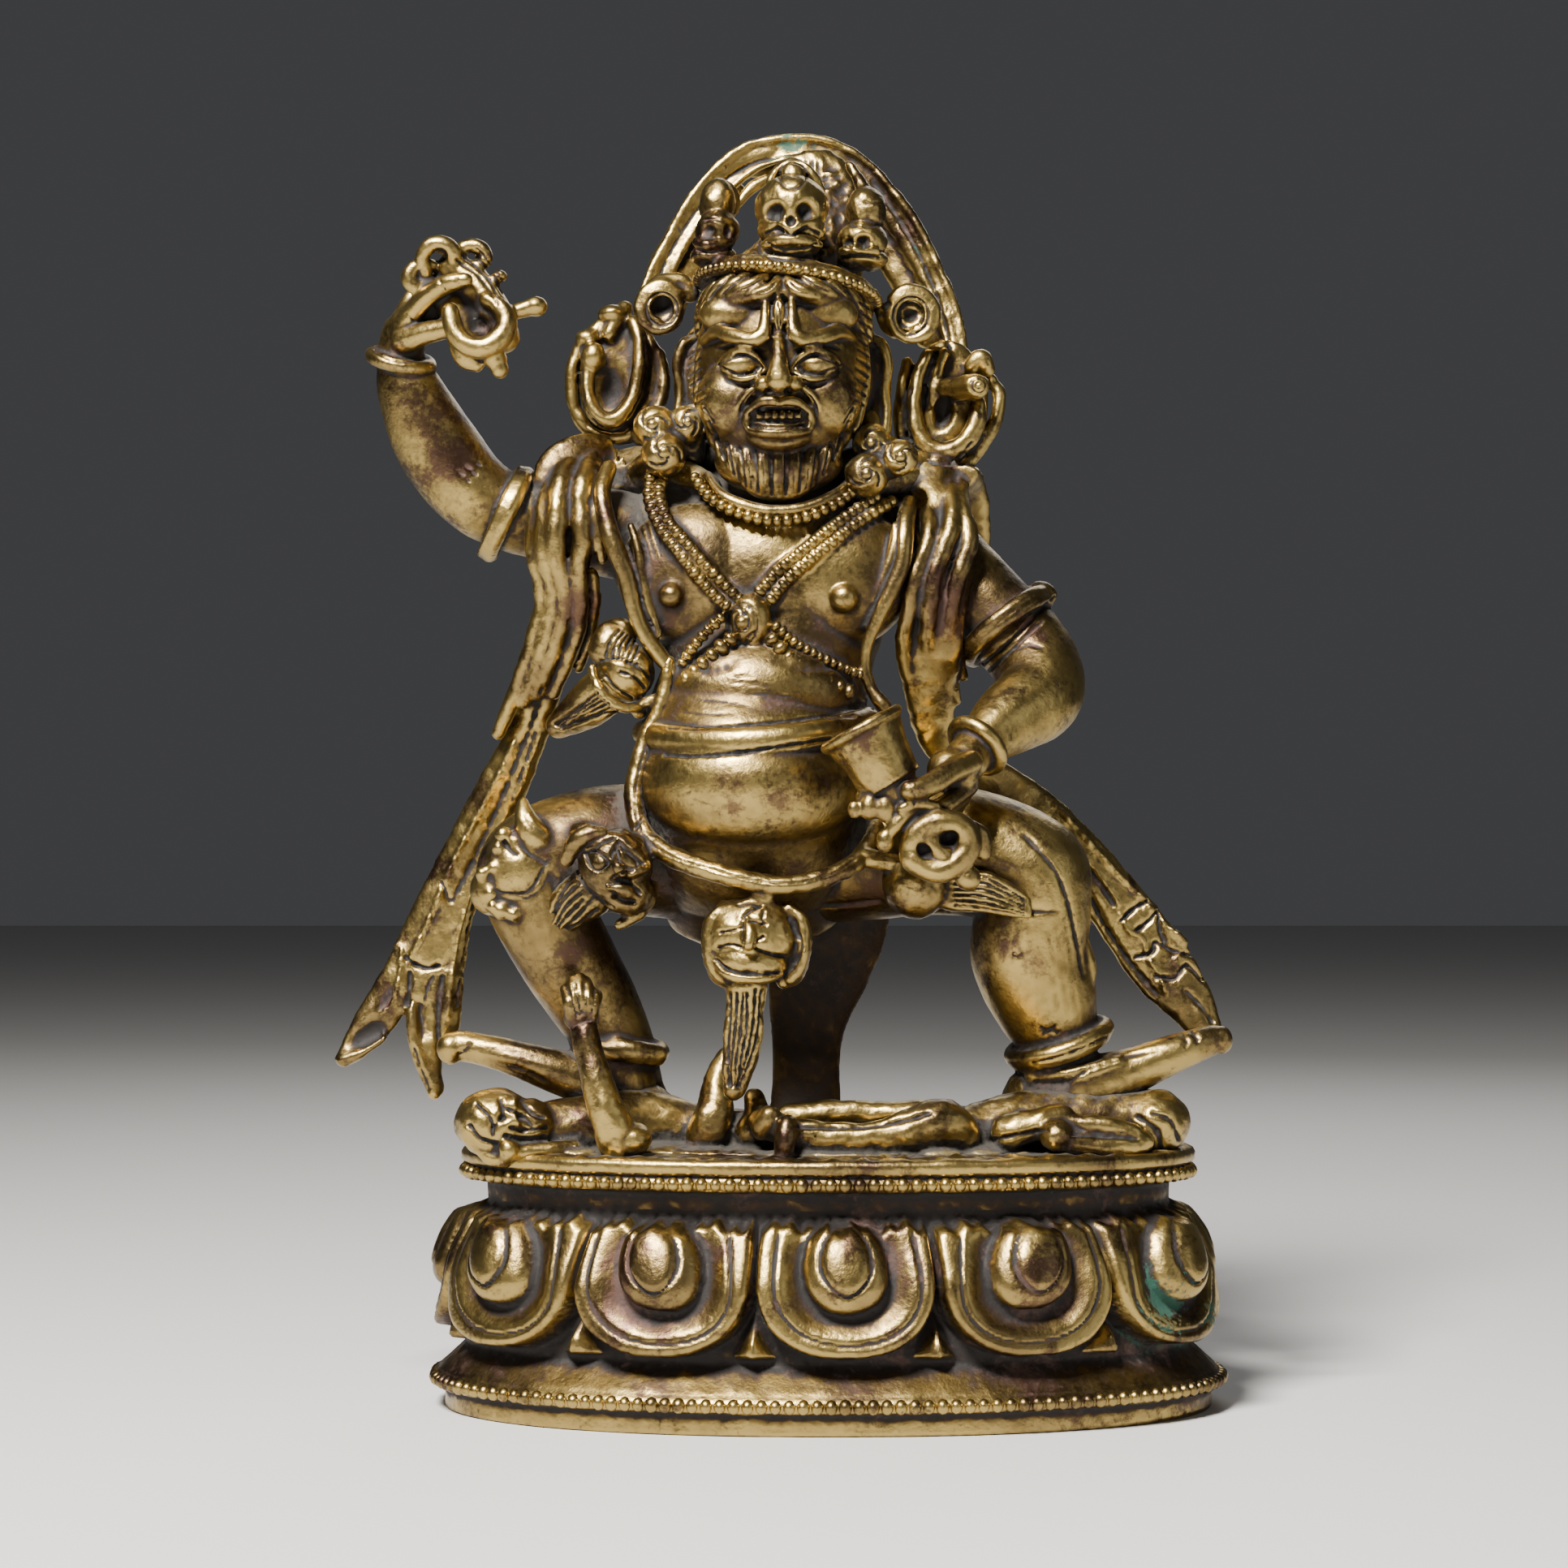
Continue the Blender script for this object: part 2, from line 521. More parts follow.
def makeRaisedArm():
    wax = Wax()
    wax.rod([
        (-22, 1, 117.6, 6.4), (-30, 0, 118.6, 6.2), (-37, -1, 119.8, 5.6), (-43, -3, 120.9, 5.2),
        (-48.5, -4, 124.0, 5.5), (-53.3, -5, 130.3, 5.6), (-56.6, -7, 137.3, 4.4), (-57.6, -8, 141.5, 3.3),
        (-57.2, -9, 144.5, 3.0),
    ], sides=24)
    # armlet: an open cuff with a lip
    wax.hoop((-43.6, -3.2, 120.7), (0.90, 0.1, -0.42), 6.0, 1.15)
    wax.hoop((-44.5, -3.2, 121.1), (0.90, 0.1, -0.42), 6.2, 0.7)
    wax.hoop((-57.7, -8, 141.1), (0.22, -0.35, 1), 3.9, 1.05)
    # palm and fingers
    wax.ball((-56.2, -10, 145.3), (2.9, 2.8, 3.2), (0, 20, 0))
    wax.rod([(-58.3, -10, 143.4, 1.5), (-55.2, -12.6, 147.3, 1.45), (-51.4, -15.4, 149.8, 1.35),
             (-48.2, -16.6, 150.4, 1.1)], sides=12)
    wax.rod([(-57.0, -11, 143.2, 1.8), (-54.0, -12.6, 143.9, 1.6), (-50.6, -14.0, 144.4, 1.4)], sides=12)
    wax.band([(-57.0, -9.4, 145.6, 2.6, 1.6), (-53.6, -10.2, 147.0, 2.6, 1.6),
        (-49.0, -11.2, 147.2, 2.8, 1.6)])
    for k in range(3):
        wax.rod([(-57.2 + 0.9 * k, -9.0 + 0.8 * k, 147.4 + 1.0 * k, 1.3),
                 (-55.2 + 0.9 * k, -8.2 + 0.6 * k, 150.4 + 0.7 * k, 1.3),
                 (-51.8 + 0.9 * k, -9.4 + 0.5 * k, 151.2 + 0.5 * k, 1.1)], sides=10)
    # scepter: a thick shaft, prongs curled together at each end
    g = handDrawing
    wax.rodOn(g, [(258, 128, -12.4, 2.2), (318, 182, -12.6, 2.6), (368, 252, -12.8, 2.6),
        (396, 318, -13.0, 2.2)], sides=20)
    wax.rodOn(g, [(232, 176, -11.8, 1.8), (268, 240, -12.2, 2.6), (304, 300, -12.6, 2.4)], sides=20)
    for prong in (
        [(182, 138, -13.6, 1.0), (172, 96, -14.4, 1.0), (200, 62, -14.8, 1.15), (240, 68, -14.6, 1.25),
         (262, 100, -14.0, 1.1), (246, 130, -13.4, 0.9)],
        [(262, 92, -12.4, 0.9), (298, 66, -12.8, 1.0), (334, 74, -12.8, 1.1), (346, 104, -12.6, 1.0),
         (316, 122, -12.4, 0.9)],
        [(200, 120, -13.2, 0.9), (156, 122, -13.8, 1.05), (138, 154, -13.8, 1.2), (158, 180, -13.6, 1.1),
         (196, 168, -13.2, 0.9)],
        [(250, 248, -16.4, 1.2), (262, 300, -16.8, 1.35), (300, 338, -17.0, 1.5), (345, 345, -17.0, 1.6),
         (388, 318, -16.8, 1.6), (404, 275, -16.4, 1.45), (386, 235, -16.0, 1.3), (350, 214, -15.6, 1.1)],
        [(268, 330, -14.8, 1.2), (292, 372, -14.8, 1.5), (322, 392, -14.8, 1.1)],
    ):
        wax.rodOn(g, prong)
    wax.ballOn(g, (374, 378, -15.8), (1.6, 1.5, 1.5))
    wax.ballOn(g, (386, 404, -15.8), (1.2, 1.2, 1.3))
    wax.rod([(-45.8, -14.4, 146.0, 1.3), (-42.4, -14.8, 146.4, 1.1), (-39.9, -15, 147.0, 1.15)], sides=12)
    wax.ball((-38.9, -15, 147.2), (1.5, 1.4, 1.35))
    wax.ballOn(g, (384, 150, -13.6), (1.1, 1.0, 0.9))
    wax.rodOn(g, [(360, 176, -13.2, 0.8), (380, 158, -13.4, 0.7)])
    skin = fuse("raised_arm", wax, raisedArmPlan)
    d = whole
    # worn facets on the scepter's shaft, lines at the knuckles, a groove in the bracelet
    skin.comb(d((560, 318), (590, 338), (612, 372)), d((585, 302), (606, 326), (622, 352)), 4, 0.16, 0.3)
    skin.lines([d((498, 384), (508, 394)), d((540, 344), (548, 356)), d((560, 340), (566, 352))], 0.14, 0.2)
    skin.line(d((461, 431), (478, 441), (500, 444), (520, 440)), 0.16, 0.2)
    skin.dent(handDrawing((326, 284))[0], (1.3, 1.5), 0.6)
    skin.dent(handDrawing((312, 258))[0], (2.8, 2.6), 0.2, shade=3.2, near=(-15.8, 0))
    skin.dent(handDrawing((262, 214))[0], (2.2, 1.3), 0.1, shade=6.0, near=(-13.8, 0))
    skin.dent(handDrawing((222, 92))[0], (0.8, 0.8), 0.7)
    skin.dent(handDrawing((318, 94))[0], (0.7, 0.5), 0.4)
    for u, v, wide in ((302, 672, 0.7), (318, 690, 0.5), (284, 690, 0.6), (330, 664, 0.45), (300, 708, 0.4)):
        skin.dent(handDrawing((u, v))[0], (wide, wide * 0.6), 0.28, turn=-30)
    skin.settle()


# Bent arm with the bell

bentArmPlan = {"grain": 0.27, "handwork": [(0.05, 5.0, 7), (0.012, 1.3, 8)], "triangles": 70000}


def makeBentArm():
    wax = Wax()
    wax.rod([
        (9, 2, 120, 6.0), (15, 1, 115.0, 6.4), (21.5, -1, 108.4, 6.1), (27.6, -3, 101.5, 6.0),
        (28.4, -7, 96.0, 5.9), (23.8, -12, 92.3, 4.8), (19.8, -16.2, 88.9, 3.2), (17.6, -19, 86.4, 2.9),
    ], sides=24)
    wax.hoop((24.0, -2.5, 105.8), (0.60, -0.15, -0.78), 6.6, 1.15)
    wax.hoop((24.6, -2.7, 105.0), (0.60, -0.15, -0.78), 6.7, 0.9)
    wax.ball((29.4, -3.0, 110.2), (2.0, 1.6, 1.3), (0, 30, 0))
    wax.hoop((19.5, -16.5, 88.7), (0.55, 0.45, 0.55), 3.7, 1.05)
    # bell, its mouth up
    wax.band([(4.0, -25.4, 90.5, 5.5, 5.3), (4.8, -25.4, 89.1, 5.1, 4.9), (5.8, -25.4, 87.3, 4.6, 4.5),
              (7.0, -25.4, 85.1, 4.3, 4.2), (8.0, -25.4, 83.4, 4.1, 4.0)], sides=48, flat=True)
    wax.band([(6.0, -25.4, 87.0, 4.0, 4.0), (8.3, -25.4, 82.9, 3.2, 3.2)], sides=40)
    wax.hoop((4.0, -25.4, 90.5), (0.49, 0, -0.87), 5.25, 0.75, 1.0, 64)
    wax.rod([(8.2, -25.4, 83.0, 2.3), (10.6, -25.4, 79.4, 1.9), (12.2, -25.6, 77.4, 2.2)])
    for x, z, radius in ((3.1, 80.1, 0.95), (5.0, 80.4, 1.35), (7.0, 80.3, 1.5), (7.0, 76.1, 1.25)):
        wax.ball((x, -27.0, z), (radius, radius, radius * 1.3))
    wax.rod([(4.2, -26.0, 81.8, 1.0), (7.0, -26.2, 82.2, 1.1), (9.6, -26, 81.6, 1.2)])
    wax.rod([(11.4, -27.2, 80.4, 0.7), (9.8, -27.4, 79.6, 0.95), (8.3, -27.4, 78.0, 0.95),
        (7.2, -27, 76.6, 0.8)])
    wax.rod([(13.6, -27.4, 80.6, 0.6), (10.8, -28.0, 80.8, 0.75), (9.2, -28.2, 80.2, 0.7)])
    # the handle's end: prongs joined in a ring, with a bar across
    b = bellDrawing
    for prong in (
        [(472, 708, -26.6, 1.6), (488, 654, -27.0, 1.7), (530, 608, -27.2, 1.65), (590, 584, -27.2, 1.75),
         (656, 586, -27.0, 1.7), (706, 620, -26.8, 1.8), (722, 672, -26.6, 1.7), (706, 728, -26.6, 1.75),
         (656, 772, -26.8, 1.65), (600, 796, -27.0, 1.7), (538, 784, -27.0, 1.6), (486, 750, -26.8, 1.7),
         (472, 708, -26.6, 1.6)],
        [(530, 620, -26.8, 1.3), (586, 692, -27.2, 1.35), (640, 770, -26.8, 1.3)],
        [(735, 600, -26.0, 0.9), (790, 640, -25.4, 1.0), (790, 720, -25.2, 1.0)],
    ):
        wax.rodOn(b, prong, sides=14)
    wax.ballOn(b, (598, 690, -25.4), (3.4, 1.5, 3.2))
    wax.rod([(12.0, -25.8, 78.4, 1.5), (13.6, -25.2, 75.9, 1.9), (14.6, -24.6, 73.6, 1.9)])
    wax.ballOn(b, (722, 828, -26.0), (1.7, 1.6, 1.7))
    # palm, thumb and fingers
    wax.ball((16.0, -21.2, 85.0), (3.6, 3.0, 3.0), (0, 30, 0))
    wax.rod([(18.4, -22.0, 86.4, 1.6), (15.4, -25.6, 85.0, 1.55), (12.6, -28.0, 83.2, 1.5),
             (10.2, -29.0, 82.5, 1.35)], sides=14)
    for k in range(3):
        wax.rod([(18.2 - k, -20.5, 83.4 - k * 1.5, 1.4), (14.8 - k * 0.6, -24.6, 80.8 - k * 0.9, 1.3),
                 (12.0 - k * 0.6, -26.2, 79.8 - k * 0.7, 1.1)], sides=10)
    skin = fuse("bent_arm", wax, bentArmPlan)
    d = chestDrawing
    skin.line(d((1050, 905), (1058, 925), (1052, 945)), 0.14, 0.2)
    skin.dent(bellDrawing((530, 712))[0], (0.65, 1.0), 0.8, turn=40)
    skin.dent(bellDrawing((640, 656))[0], (1.1, 0.75), 0.8, turn=30)
    skin.line(d((1205, 600), (1290, 530), (1370, 450), (1420, 405)), 0.22, 0.35)
    skin.line(d((1228, 612), (1310, 540), (1385, 470)), 0.2, 0.3)
    skin.line(d((862, 815), (905, 880), (945, 915)), 0.3, 0.10)
    skin.lines([d((1310, 545), (1350, 530), (1390, 540))], 0.25, 0.2, taper=0.3)
    skin.settle()


# Legs, skirt, the beast's mask of the pelt, and the tail of cloth behind

legPlan = {"grain": 0.36, "handwork": [(0.03, 7.0, 9), (0.015, 1.7, 10)], "triangles": 80000}


def makeLegs():
    wax = Wax()
    wax.rod([(-12, 0, 74.5, 9.8), (-22, -2, 75.0, 9.3), (-32, -6, 75.0, 8.4), (-39.5, -8, 72.8, 7.4),
             (-39.2, -8, 68.5, 6.9), (-35.5, -6.5, 61.0, 6.5), (-31.5, -4, 54.0, 5.9),
             (-28.6, -3, 48.5, 5.0), (-27.4, -2, 43.0, 4.9)], sides=28)
    wax.rod([(-6, 0, 74.5, 9.8), (6, -2, 75.0, 9.4), (17, -6, 75.0, 8.8), (26.5, -8.5, 72.4, 7.8),
             (27.6, -8.5, 68.0, 7.6), (27.0, -7, 61.0, 7.9), (29.5, -5, 54.0, 7.0),
             (31.0, -4, 49.0, 5.5), (31.0, -3, 43.0, 5.2)], sides=28)
    wax.band([(-23.0, -7.0, 47.4, 1.6, 1.4), (-27.4, -8.8, 48.2, 1.6, 1.3), (-33.4, -5.6, 49.4, 1.5, 1.3)])
    wax.hoop((-28.4, -3, 48.4), (0.14, -0.08, 1), 5.6, 1.4)
    wax.hoop((31.2, -4, 49.2), (-0.34, -0.16, 1), 6.6, 1.25)
    wax.hoop((31.4, -4, 48.2), (-0.34, -0.16, 1), 6.4, 0.8)
    wax.rod([(-25.6, -2, 41.4, 3.8), (-31, -4, 43.2, 3.5), (-38, -5.5, 45.6, 2.9), (-44.5, -5.5, 47.6, 2.3),
             (-49.8, -4.5, 48.6, 2.1)], sides=16)
    wax.ball((-51.0, -5.0, 48.2), (2.0, 2.0, 2.2))
    wax.rod([(28.0, -3.5, 41.2, 4.6), (34.0, -6, 43.0, 4.1), (40.5, -6.6, 45.2, 3.2), (46.5, -6.4, 47.6, 2.6),
             (51.8, -5, 49.4, 2.1)], sides=16)
    wax.rod([(27.6, -7.4, 44.8, 1.4), (33.5, -9.2, 45.0, 1.3), (39.0, -8.8, 46.6, 1.0)], sides=10)
    wax.ball((53.0, -5.0, 49.4), (1.7, 1.9, 2.0))
    wax.ball((-10, 1, 73.5), (19, 12, 8.5))
    # the mask on the right knee: cheek, snout, horn-like ear, curls
    wax.ball((-41.0, -11.2, 72.4), (5.2, 4.6, 6.4), (0, 20, 0))
    wax.ball((-45.0, -11.8, 69.6), (2.9, 3.0, 3.4))
    wax.rodOn(rightLegDrawing, [(900, 250, -12, 1.7), (820, 230, -13.6, 2.2), (775, 160, -13.8, 1.7),
        (765, 90, -13, 0.8)])
    wax.rodOn(rightLegDrawing, [(900, 170, -11.5, 1.2), (960, 230, -13, 1.5), (990, 200, -14.5, 1.2),
        (1050, 205, -15.5, 1.0)])
    for u, v, radius in ((690, 215, 1.2), (672, 265, 1.0), (735, 245, 1.2), (655, 340, 1.2),
            (610, 362, 1.0), (640, 440, 1.0), (682, 505, 1.3), (650, 490, 0.9), (730, 520, 1.0)):
        wax.ballOn(rightLegDrawing, (u, v, -14), (radius, 1.2, radius))
    # the pelt's edge behind the left knee
    wax.rodOn(leftLegDrawing, [
        (905, 160, -7, 1.2), (965, 230, -10.5, 1.1), (1010, 300, -12, 1.0), (1035, 370, -10.5, 1.1),
        (1055, 440, -9, 1.2), (1070, 500, -8, 1.3), (1068, 560, -7.5, 0.8)])
    wax.band([(-3.4, 9, 78, 10.0, 2.4), (-0.4, 10, 67, 9.3, 1.7), (-1.2, 10.4, 59, 7.6, 1.6),
              (-2.5, 10.6, 52, 5.6, 1.6), (-2.9, 10.4, 45, 4.7, 1.6), (-3.0, 10, 34.6, 5.4, 2.0)], sides=24)
    skin = fuse("legs", wax, legPlan)
    d = rightLegDrawing
    # the mask's eye, mouth and brow
    skin.line(d((750, 250), (790, 290), (860, 330)), 0.25, 0.35, taper=0.2)
    skin.line(d((640, 420), (700, 440), (790, 430), (850, 330), (880, 300)), 0.2, 0.3, taper=0.2)
    skin.line(d((690, 240), (720, 280), (745, 290)), 0.25, 0.4)
    skin.line(d((740, 470), (820, 440), (860, 380)), 0.18, 0.2, taper=0.3)
    skin.line(d((770, 110), (790, 170), (850, 210)), 0.2, 0.2, taper=0.2)
    # toes, heel creases
    skin.line(d((520, 1060), (545, 1040), (560, 1015)), 0.18, 0.3)
    skin.line(d((640, 1100), (760, 1120), (900, 1190)), 0.35, 0.22, taper=0.3)
    skin.line(d((600, 1040), (720, 1045), (860, 1085)), 0.3, 0.12, taper=0.3)
    e = leftLegDrawing
    skin.line(e((960, 800), (1060, 770), (1160, 735), (1270, 710)), 0.3, 0.25, taper=0.2)
    skin.lines([e((1320, 672), (1330, 690), (1328, 706)), e((1345, 664), (1356, 680), (1358, 696))], 0.2, 0.3)
    skin.line(e((925, 748), (1010, 728), (1120, 682)), 0.22, 0.35)
    skin.line(e((935, 800), (1010, 800), (1060, 775)), 0.3, 0.35)
    skin.line(e((870, 462), (885, 468), (900, 460), (888, 454), (872, 460)), 0.15, 0.18)
    skin.lines([e((950, 655), (965, 668), (985, 650)), e((955, 672), (970, 660), (990, 668))], 0.2, 0.3)
    # short hair of the pelt under the left thigh, combed down
    for k in range(9):
        u = 565 + k * 17
        skin.line(e((u, 298), (u + 3, 320), (u + 2, 345)), 0.28, 0.35, near=(-40, 0))
    skin.line(e((250, 330), (400, 335), (520, 325)), 0.3, 0.3)
    skin.line(e((905, 150), (985, 240), (1020, 330), (1040, 420), (1060, 520)), 0.25, 0.35)
    skin.line(e((730, 250), (760, 330), (900, 350), (1000, 350)), 0.3, 0.3, taper=0.2)
    # cloth tail: black with age before, ribbed behind
    tail = (skin.co[:, 1] > 6.5) & (skin.co[:, 2] < 74) & (np.abs(skin.co[:, 0] + 1) < 12)
    skin.dark = np.where(tail, 0.95, skin.dark)
    skin.comb([(-9.0, 74), (-8, 60), (-7, 45), (-8, 36)], [(2.0, 74), (1, 60), (0, 45), (1, 36)],
              5, 0.5, 0.45, back=True)
    skin.comb([(-24, 79), (-16, 70)], [(4, 79), (-4, 70)], 6, 0.5, 0.3, back=True)
    skin.settle()


# Head. The face is drawn from its own middle line: a frowning guardian's, with three eyes.

headPlan = {"grain": 0.21, "handwork": [(0.03, 4.0, 12), (0.015, 1.1, 13)], "triangles": 140000,
            "middle": -6.7, "locks": 15, "lockRadius": 1.2}


def jaw(side):
    # root and tip of a beard lock, side from -1 to 1 along the jaw
    a = side * math.radians(84)
    m = headPlan["middle"]
    x = m + 10.4 * math.sin(a)
    y = -5.4 - 9.8 * math.cos(a)
    z = 127.4 + 9.6 * (1 - math.cos(a)) ** 1.3
    drop = 1.3 + 3.9 * max(0.0, math.cos(a)) ** 1.6
    return (x, y, z), (m + (x - m) * 0.84 + 0.4 * side, y + 1.6, z - drop)


def makeHead():
    wax = Wax()
    m = headPlan["middle"]
    wax.ball((-6.2, -6.8, 141.3), (11.7, 11.6, 14.2))
    wax.ball((-5.8, -5.6, 148.4), (12.0, 11.4, 5.6))
    wax.ball((m, -9.6, 132.4), (9.6, 8.2, 6.4))
    wax.ball((m, -15.4, 129.9), (4.4, 3.0, 2.4))
    wax.rod([(-7.2, -3, 133, 6.4), (-7.6, -2, 124, 7.2)], sides=20)
    for s in (-1, 1):
        wax.ball((m + s * 5.6, -12.8, 135.0), (5.4, 4.8, 5.6))
        wax.ball((m + s * 5.6, -14.2, 146.2), (5.0, 3.0, 3.0))
        wax.ball((m + s * 10.6, -1.5, 139.0), (3.4, 4.0, 8.0))
        # frowning brow that turns up beside the third eye
        wax.rod([(m + s * 1.7, -17.8, 148.4, 0.45), (m + s * 1.75, -18.9, 145.6, 0.7),
                 (m + s * 2.0, -19.6, 142.9, 1.1), (m + s * 3.6, -19.5, 141.9, 1.15),
                 (m + s * 6.0, -18.1, 142.7, 1.1), (m + s * 8.2, -15.7, 143.6, 0.95),
                 (m + s * 10.0, -12.4, 143.0, 0.6)], sides=12)
        # eye and lids
        wax.ball((m + s * 4.9, -16.9, 139.1), (3.0, 2.1, 1.65), (0, s * 5, 0))
        wax.rod([(m + s * 1.8, -18.0, 138.3, 0.4), (m + s * 3.2, -18.8, 140.1, 0.5),
                 (m + s * 5.0, -18.5, 140.8, 0.55), (m + s * 7.0, -16.8, 140.1, 0.5),
                 (m + s * 8.4, -14.9, 138.8, 0.35)], sides=10)
        wax.rod([(m + s * 1.8, -18.0, 138.3, 0.4), (m + s * 3.4, -18.4, 137.3, 0.45),
                 (m + s * 5.2, -18.0, 137.1, 0.5), (m + s * 7.2, -16.3, 137.9, 0.45),
                 (m + s * 8.4, -14.9, 138.8, 0.35)], sides=10)
        wax.ball((m + s * 1.95, -19.3, 136.2), (1.3, 1.5, 1.1))
        # fold from the nose to the corner of the mouth
        wax.rod([(m + s * 2.6, -18.6, 136.2, 0.4), (m + s * 4.3, -17.9, 134.9, 0.6),
                 (m + s * 5.6, -16.6, 132.9, 0.6), (m + s * 5.9, -15.6, 130.9, 0.4)], sides=12)
        # corner of the open mouth
        wax.rod([(m + s * 3.9, -17.5, 132.8, 0.62), (m + s * 4.35, -17.1, 131.5, 0.6),
                 (m + s * 3.6, -17.3, 130.2, 0.62)], sides=10)
    wax.rod([(m, -18.4, 142.4, 0.9), (m, -19.6, 140.6, 0.95), (m, -20.6, 138.2, 1.3),
        (m, -21.2, 136.5, 1.75)], sides=14)
    # third eye, upright
    wax.ball((m, -18.0, 145.4), (0.95, 1.5, 2.5))
    # lips and teeth
    wax.rod([(m - 4.1, -17.5, 132.6, 0.62), (m - 2.4, -18.7, 133.8, 0.72), (m - 0.8, -19.3, 134.0, 0.74),
             (m, -19.3, 133.7, 0.7), (m + 0.8, -19.3, 134.0, 0.74), (m + 2.4, -18.7, 133.8, 0.72),
             (m + 4.1, -17.5, 132.6, 0.62)], sides=12)
    wax.rod([(m - 3.7, -17.3, 130.3, 0.62), (m - 1.9, -18.6, 129.9, 0.8), (m, -19.0, 129.8, 0.85),
             (m + 1.9, -18.6, 129.9, 0.8), (m + 3.7, -17.3, 130.3, 0.62)], sides=12)
    for k in range(6):
        wax.ball((m + (k - 2.5) * 1.05, -17.9 + 0.1 * (k - 2.5) ** 2, 132.3), (0.56, 0.6, 0.85))
    wax.ball((m, -17.2, 130.9), (2.4, 1.0, 0.55))
    # beard: a fringe of thick locks along the jaw
    radius = headPlan["lockRadius"]
    for k in range(headPlan["locks"]):
        side = 2 * k / (headPlan["locks"] - 1) - 1
        (x, y, z), (xt, yt, zt) = jaw(side)
        full = 0.66 + 0.34 * math.cos(side * math.pi / 2)
        wax.rod([(x, y + 0.9, z + 0.9, radius * full * 0.5), (x, y + 0.1, z, radius * full * 0.9),
                 ((x + xt) / 2, (y + yt) / 2 - 0.45, (z + zt) / 2, radius * full * 1.15),
                 (xt, yt, zt, radius * full * 0.5)], sides=14)
    wax.ball((m, -10.4, 127.0), (8.6, 4.9, 4.6))
    wax.ball((m, -12.4, 125.0), (5.4, 2.8, 3.6))
    h = hairDrawing
    for hairline in (
        [(487, 388, -17.6, 0.8), (440, 398, -17.6, 1.0), (390, 404, -16.6, 1.05), (348, 428, -14.4, 1.0),
         (322, 475, -12.2, 0.9), (308, 545, -9.6, 0.8), (304, 620, -8.6, 0.75), (316, 690, -8.8, 0.7)],
        [(493, 390, -17.6, 0.8), (542, 398, -17.4, 1.0), (592, 408, -16.0, 1.05), (636, 438, -13.2, 1.0),
         (660, 485, -10.6, 0.9), (672, 550, -8.8, 0.8), (668, 620, -8.4, 0.75), (650, 690, -8.8, 0.7)],
    ):
        wax.rodOn(h, hairline, sides=12)
    # wavy tufts swept from the parting, under the crown's cord
    for tuft in (
        [(486, 352, -16.6, 0.6), (470, 378, -18.0, 0.95), (440, 392, -18.2, 1.0), (408, 398, -17.6, 0.7)],
        [(462, 348, -16.4, 0.6), (430, 368, -17.6, 0.95), (396, 384, -17.4, 1.0), (366, 402, -16.0, 0.7)],
        [(420, 348, -16.0, 0.6), (388, 368, -16.8, 0.9), (360, 392, -15.8, 1.0), (338, 424, -14.0, 0.7)],
        [(378, 356, -15.0, 0.6), (350, 378, -15.0, 0.9), (328, 410, -13.6, 1.0), (314, 448, -11.6, 0.7)],
        [(340, 372, -13.2, 0.6), (322, 398, -12.4, 0.9), (310, 436, -11.2, 0.9), (304, 480, -9.6, 0.6)],
        [(494, 352, -16.6, 0.6), (512, 376, -18.0, 0.95), (540, 390, -18.2, 1.0), (570, 396, -17.4, 0.7)],
        [(522, 348, -16.6, 0.6), (552, 368, -17.6, 0.95), (584, 384, -17.0, 1.0), (612, 402, -15.6, 0.7)],
        [(562, 352, -15.8, 0.6), (594, 372, -16.4, 0.9), (622, 396, -15.0, 1.0), (644, 430, -13.0, 0.7)],
        [(604, 362, -14.4, 0.6), (632, 386, -14.0, 0.9), (654, 418, -12.4, 1.0), (668, 460, -10.4, 0.7)],
        [(642, 380, -12.4, 0.6), (662, 408, -11.4, 0.9), (674, 446, -10.0, 0.9), (680, 492, -8.6, 0.6)],
    ):
        wax.rodOn(h, tuft, sides=12)
    for s in (-1, 1):
        # long ears, their lobes down to the shoulders
        ear = -18.9 if s < 0 else 6.5
        wax.band([(ear - s * 1.2, -2.6, 145.0, 1.3, 1.4), (ear, -3.0, 141.0, 2.0, 1.6),
            (ear + s * 0.2, -3.0, 137.0, 1.9, 1.5), (ear - s * 0.2, -3.4, 132.4, 2.0, 1.6),
            (ear - s * 0.4, -3.6, 128.6, 1.8, 1.6)])
        wax.rod([(ear - s * 1.6, -3.8, 144.8, 0.6), (ear + s * 0.6, -4.6, 144.0, 0.75),
                 (ear + s * 1.6, -4.6, 141.0, 0.8), (ear + s * 1.2, -4.4, 137.6, 0.65),
                 (ear + s * 1.5, -4.6, 134.0, 0.7), (ear + s * 0.9, -4.8, 130.4, 0.75),
                 (ear - s * 0.8, -4.8, 129.4, 0.6), (ear - s * 1.6, -4.6, 132.0, 0.5)], sides=10)
    skin = fuse("head", wax, headPlan)
    skin.settle()

    def f(*points):
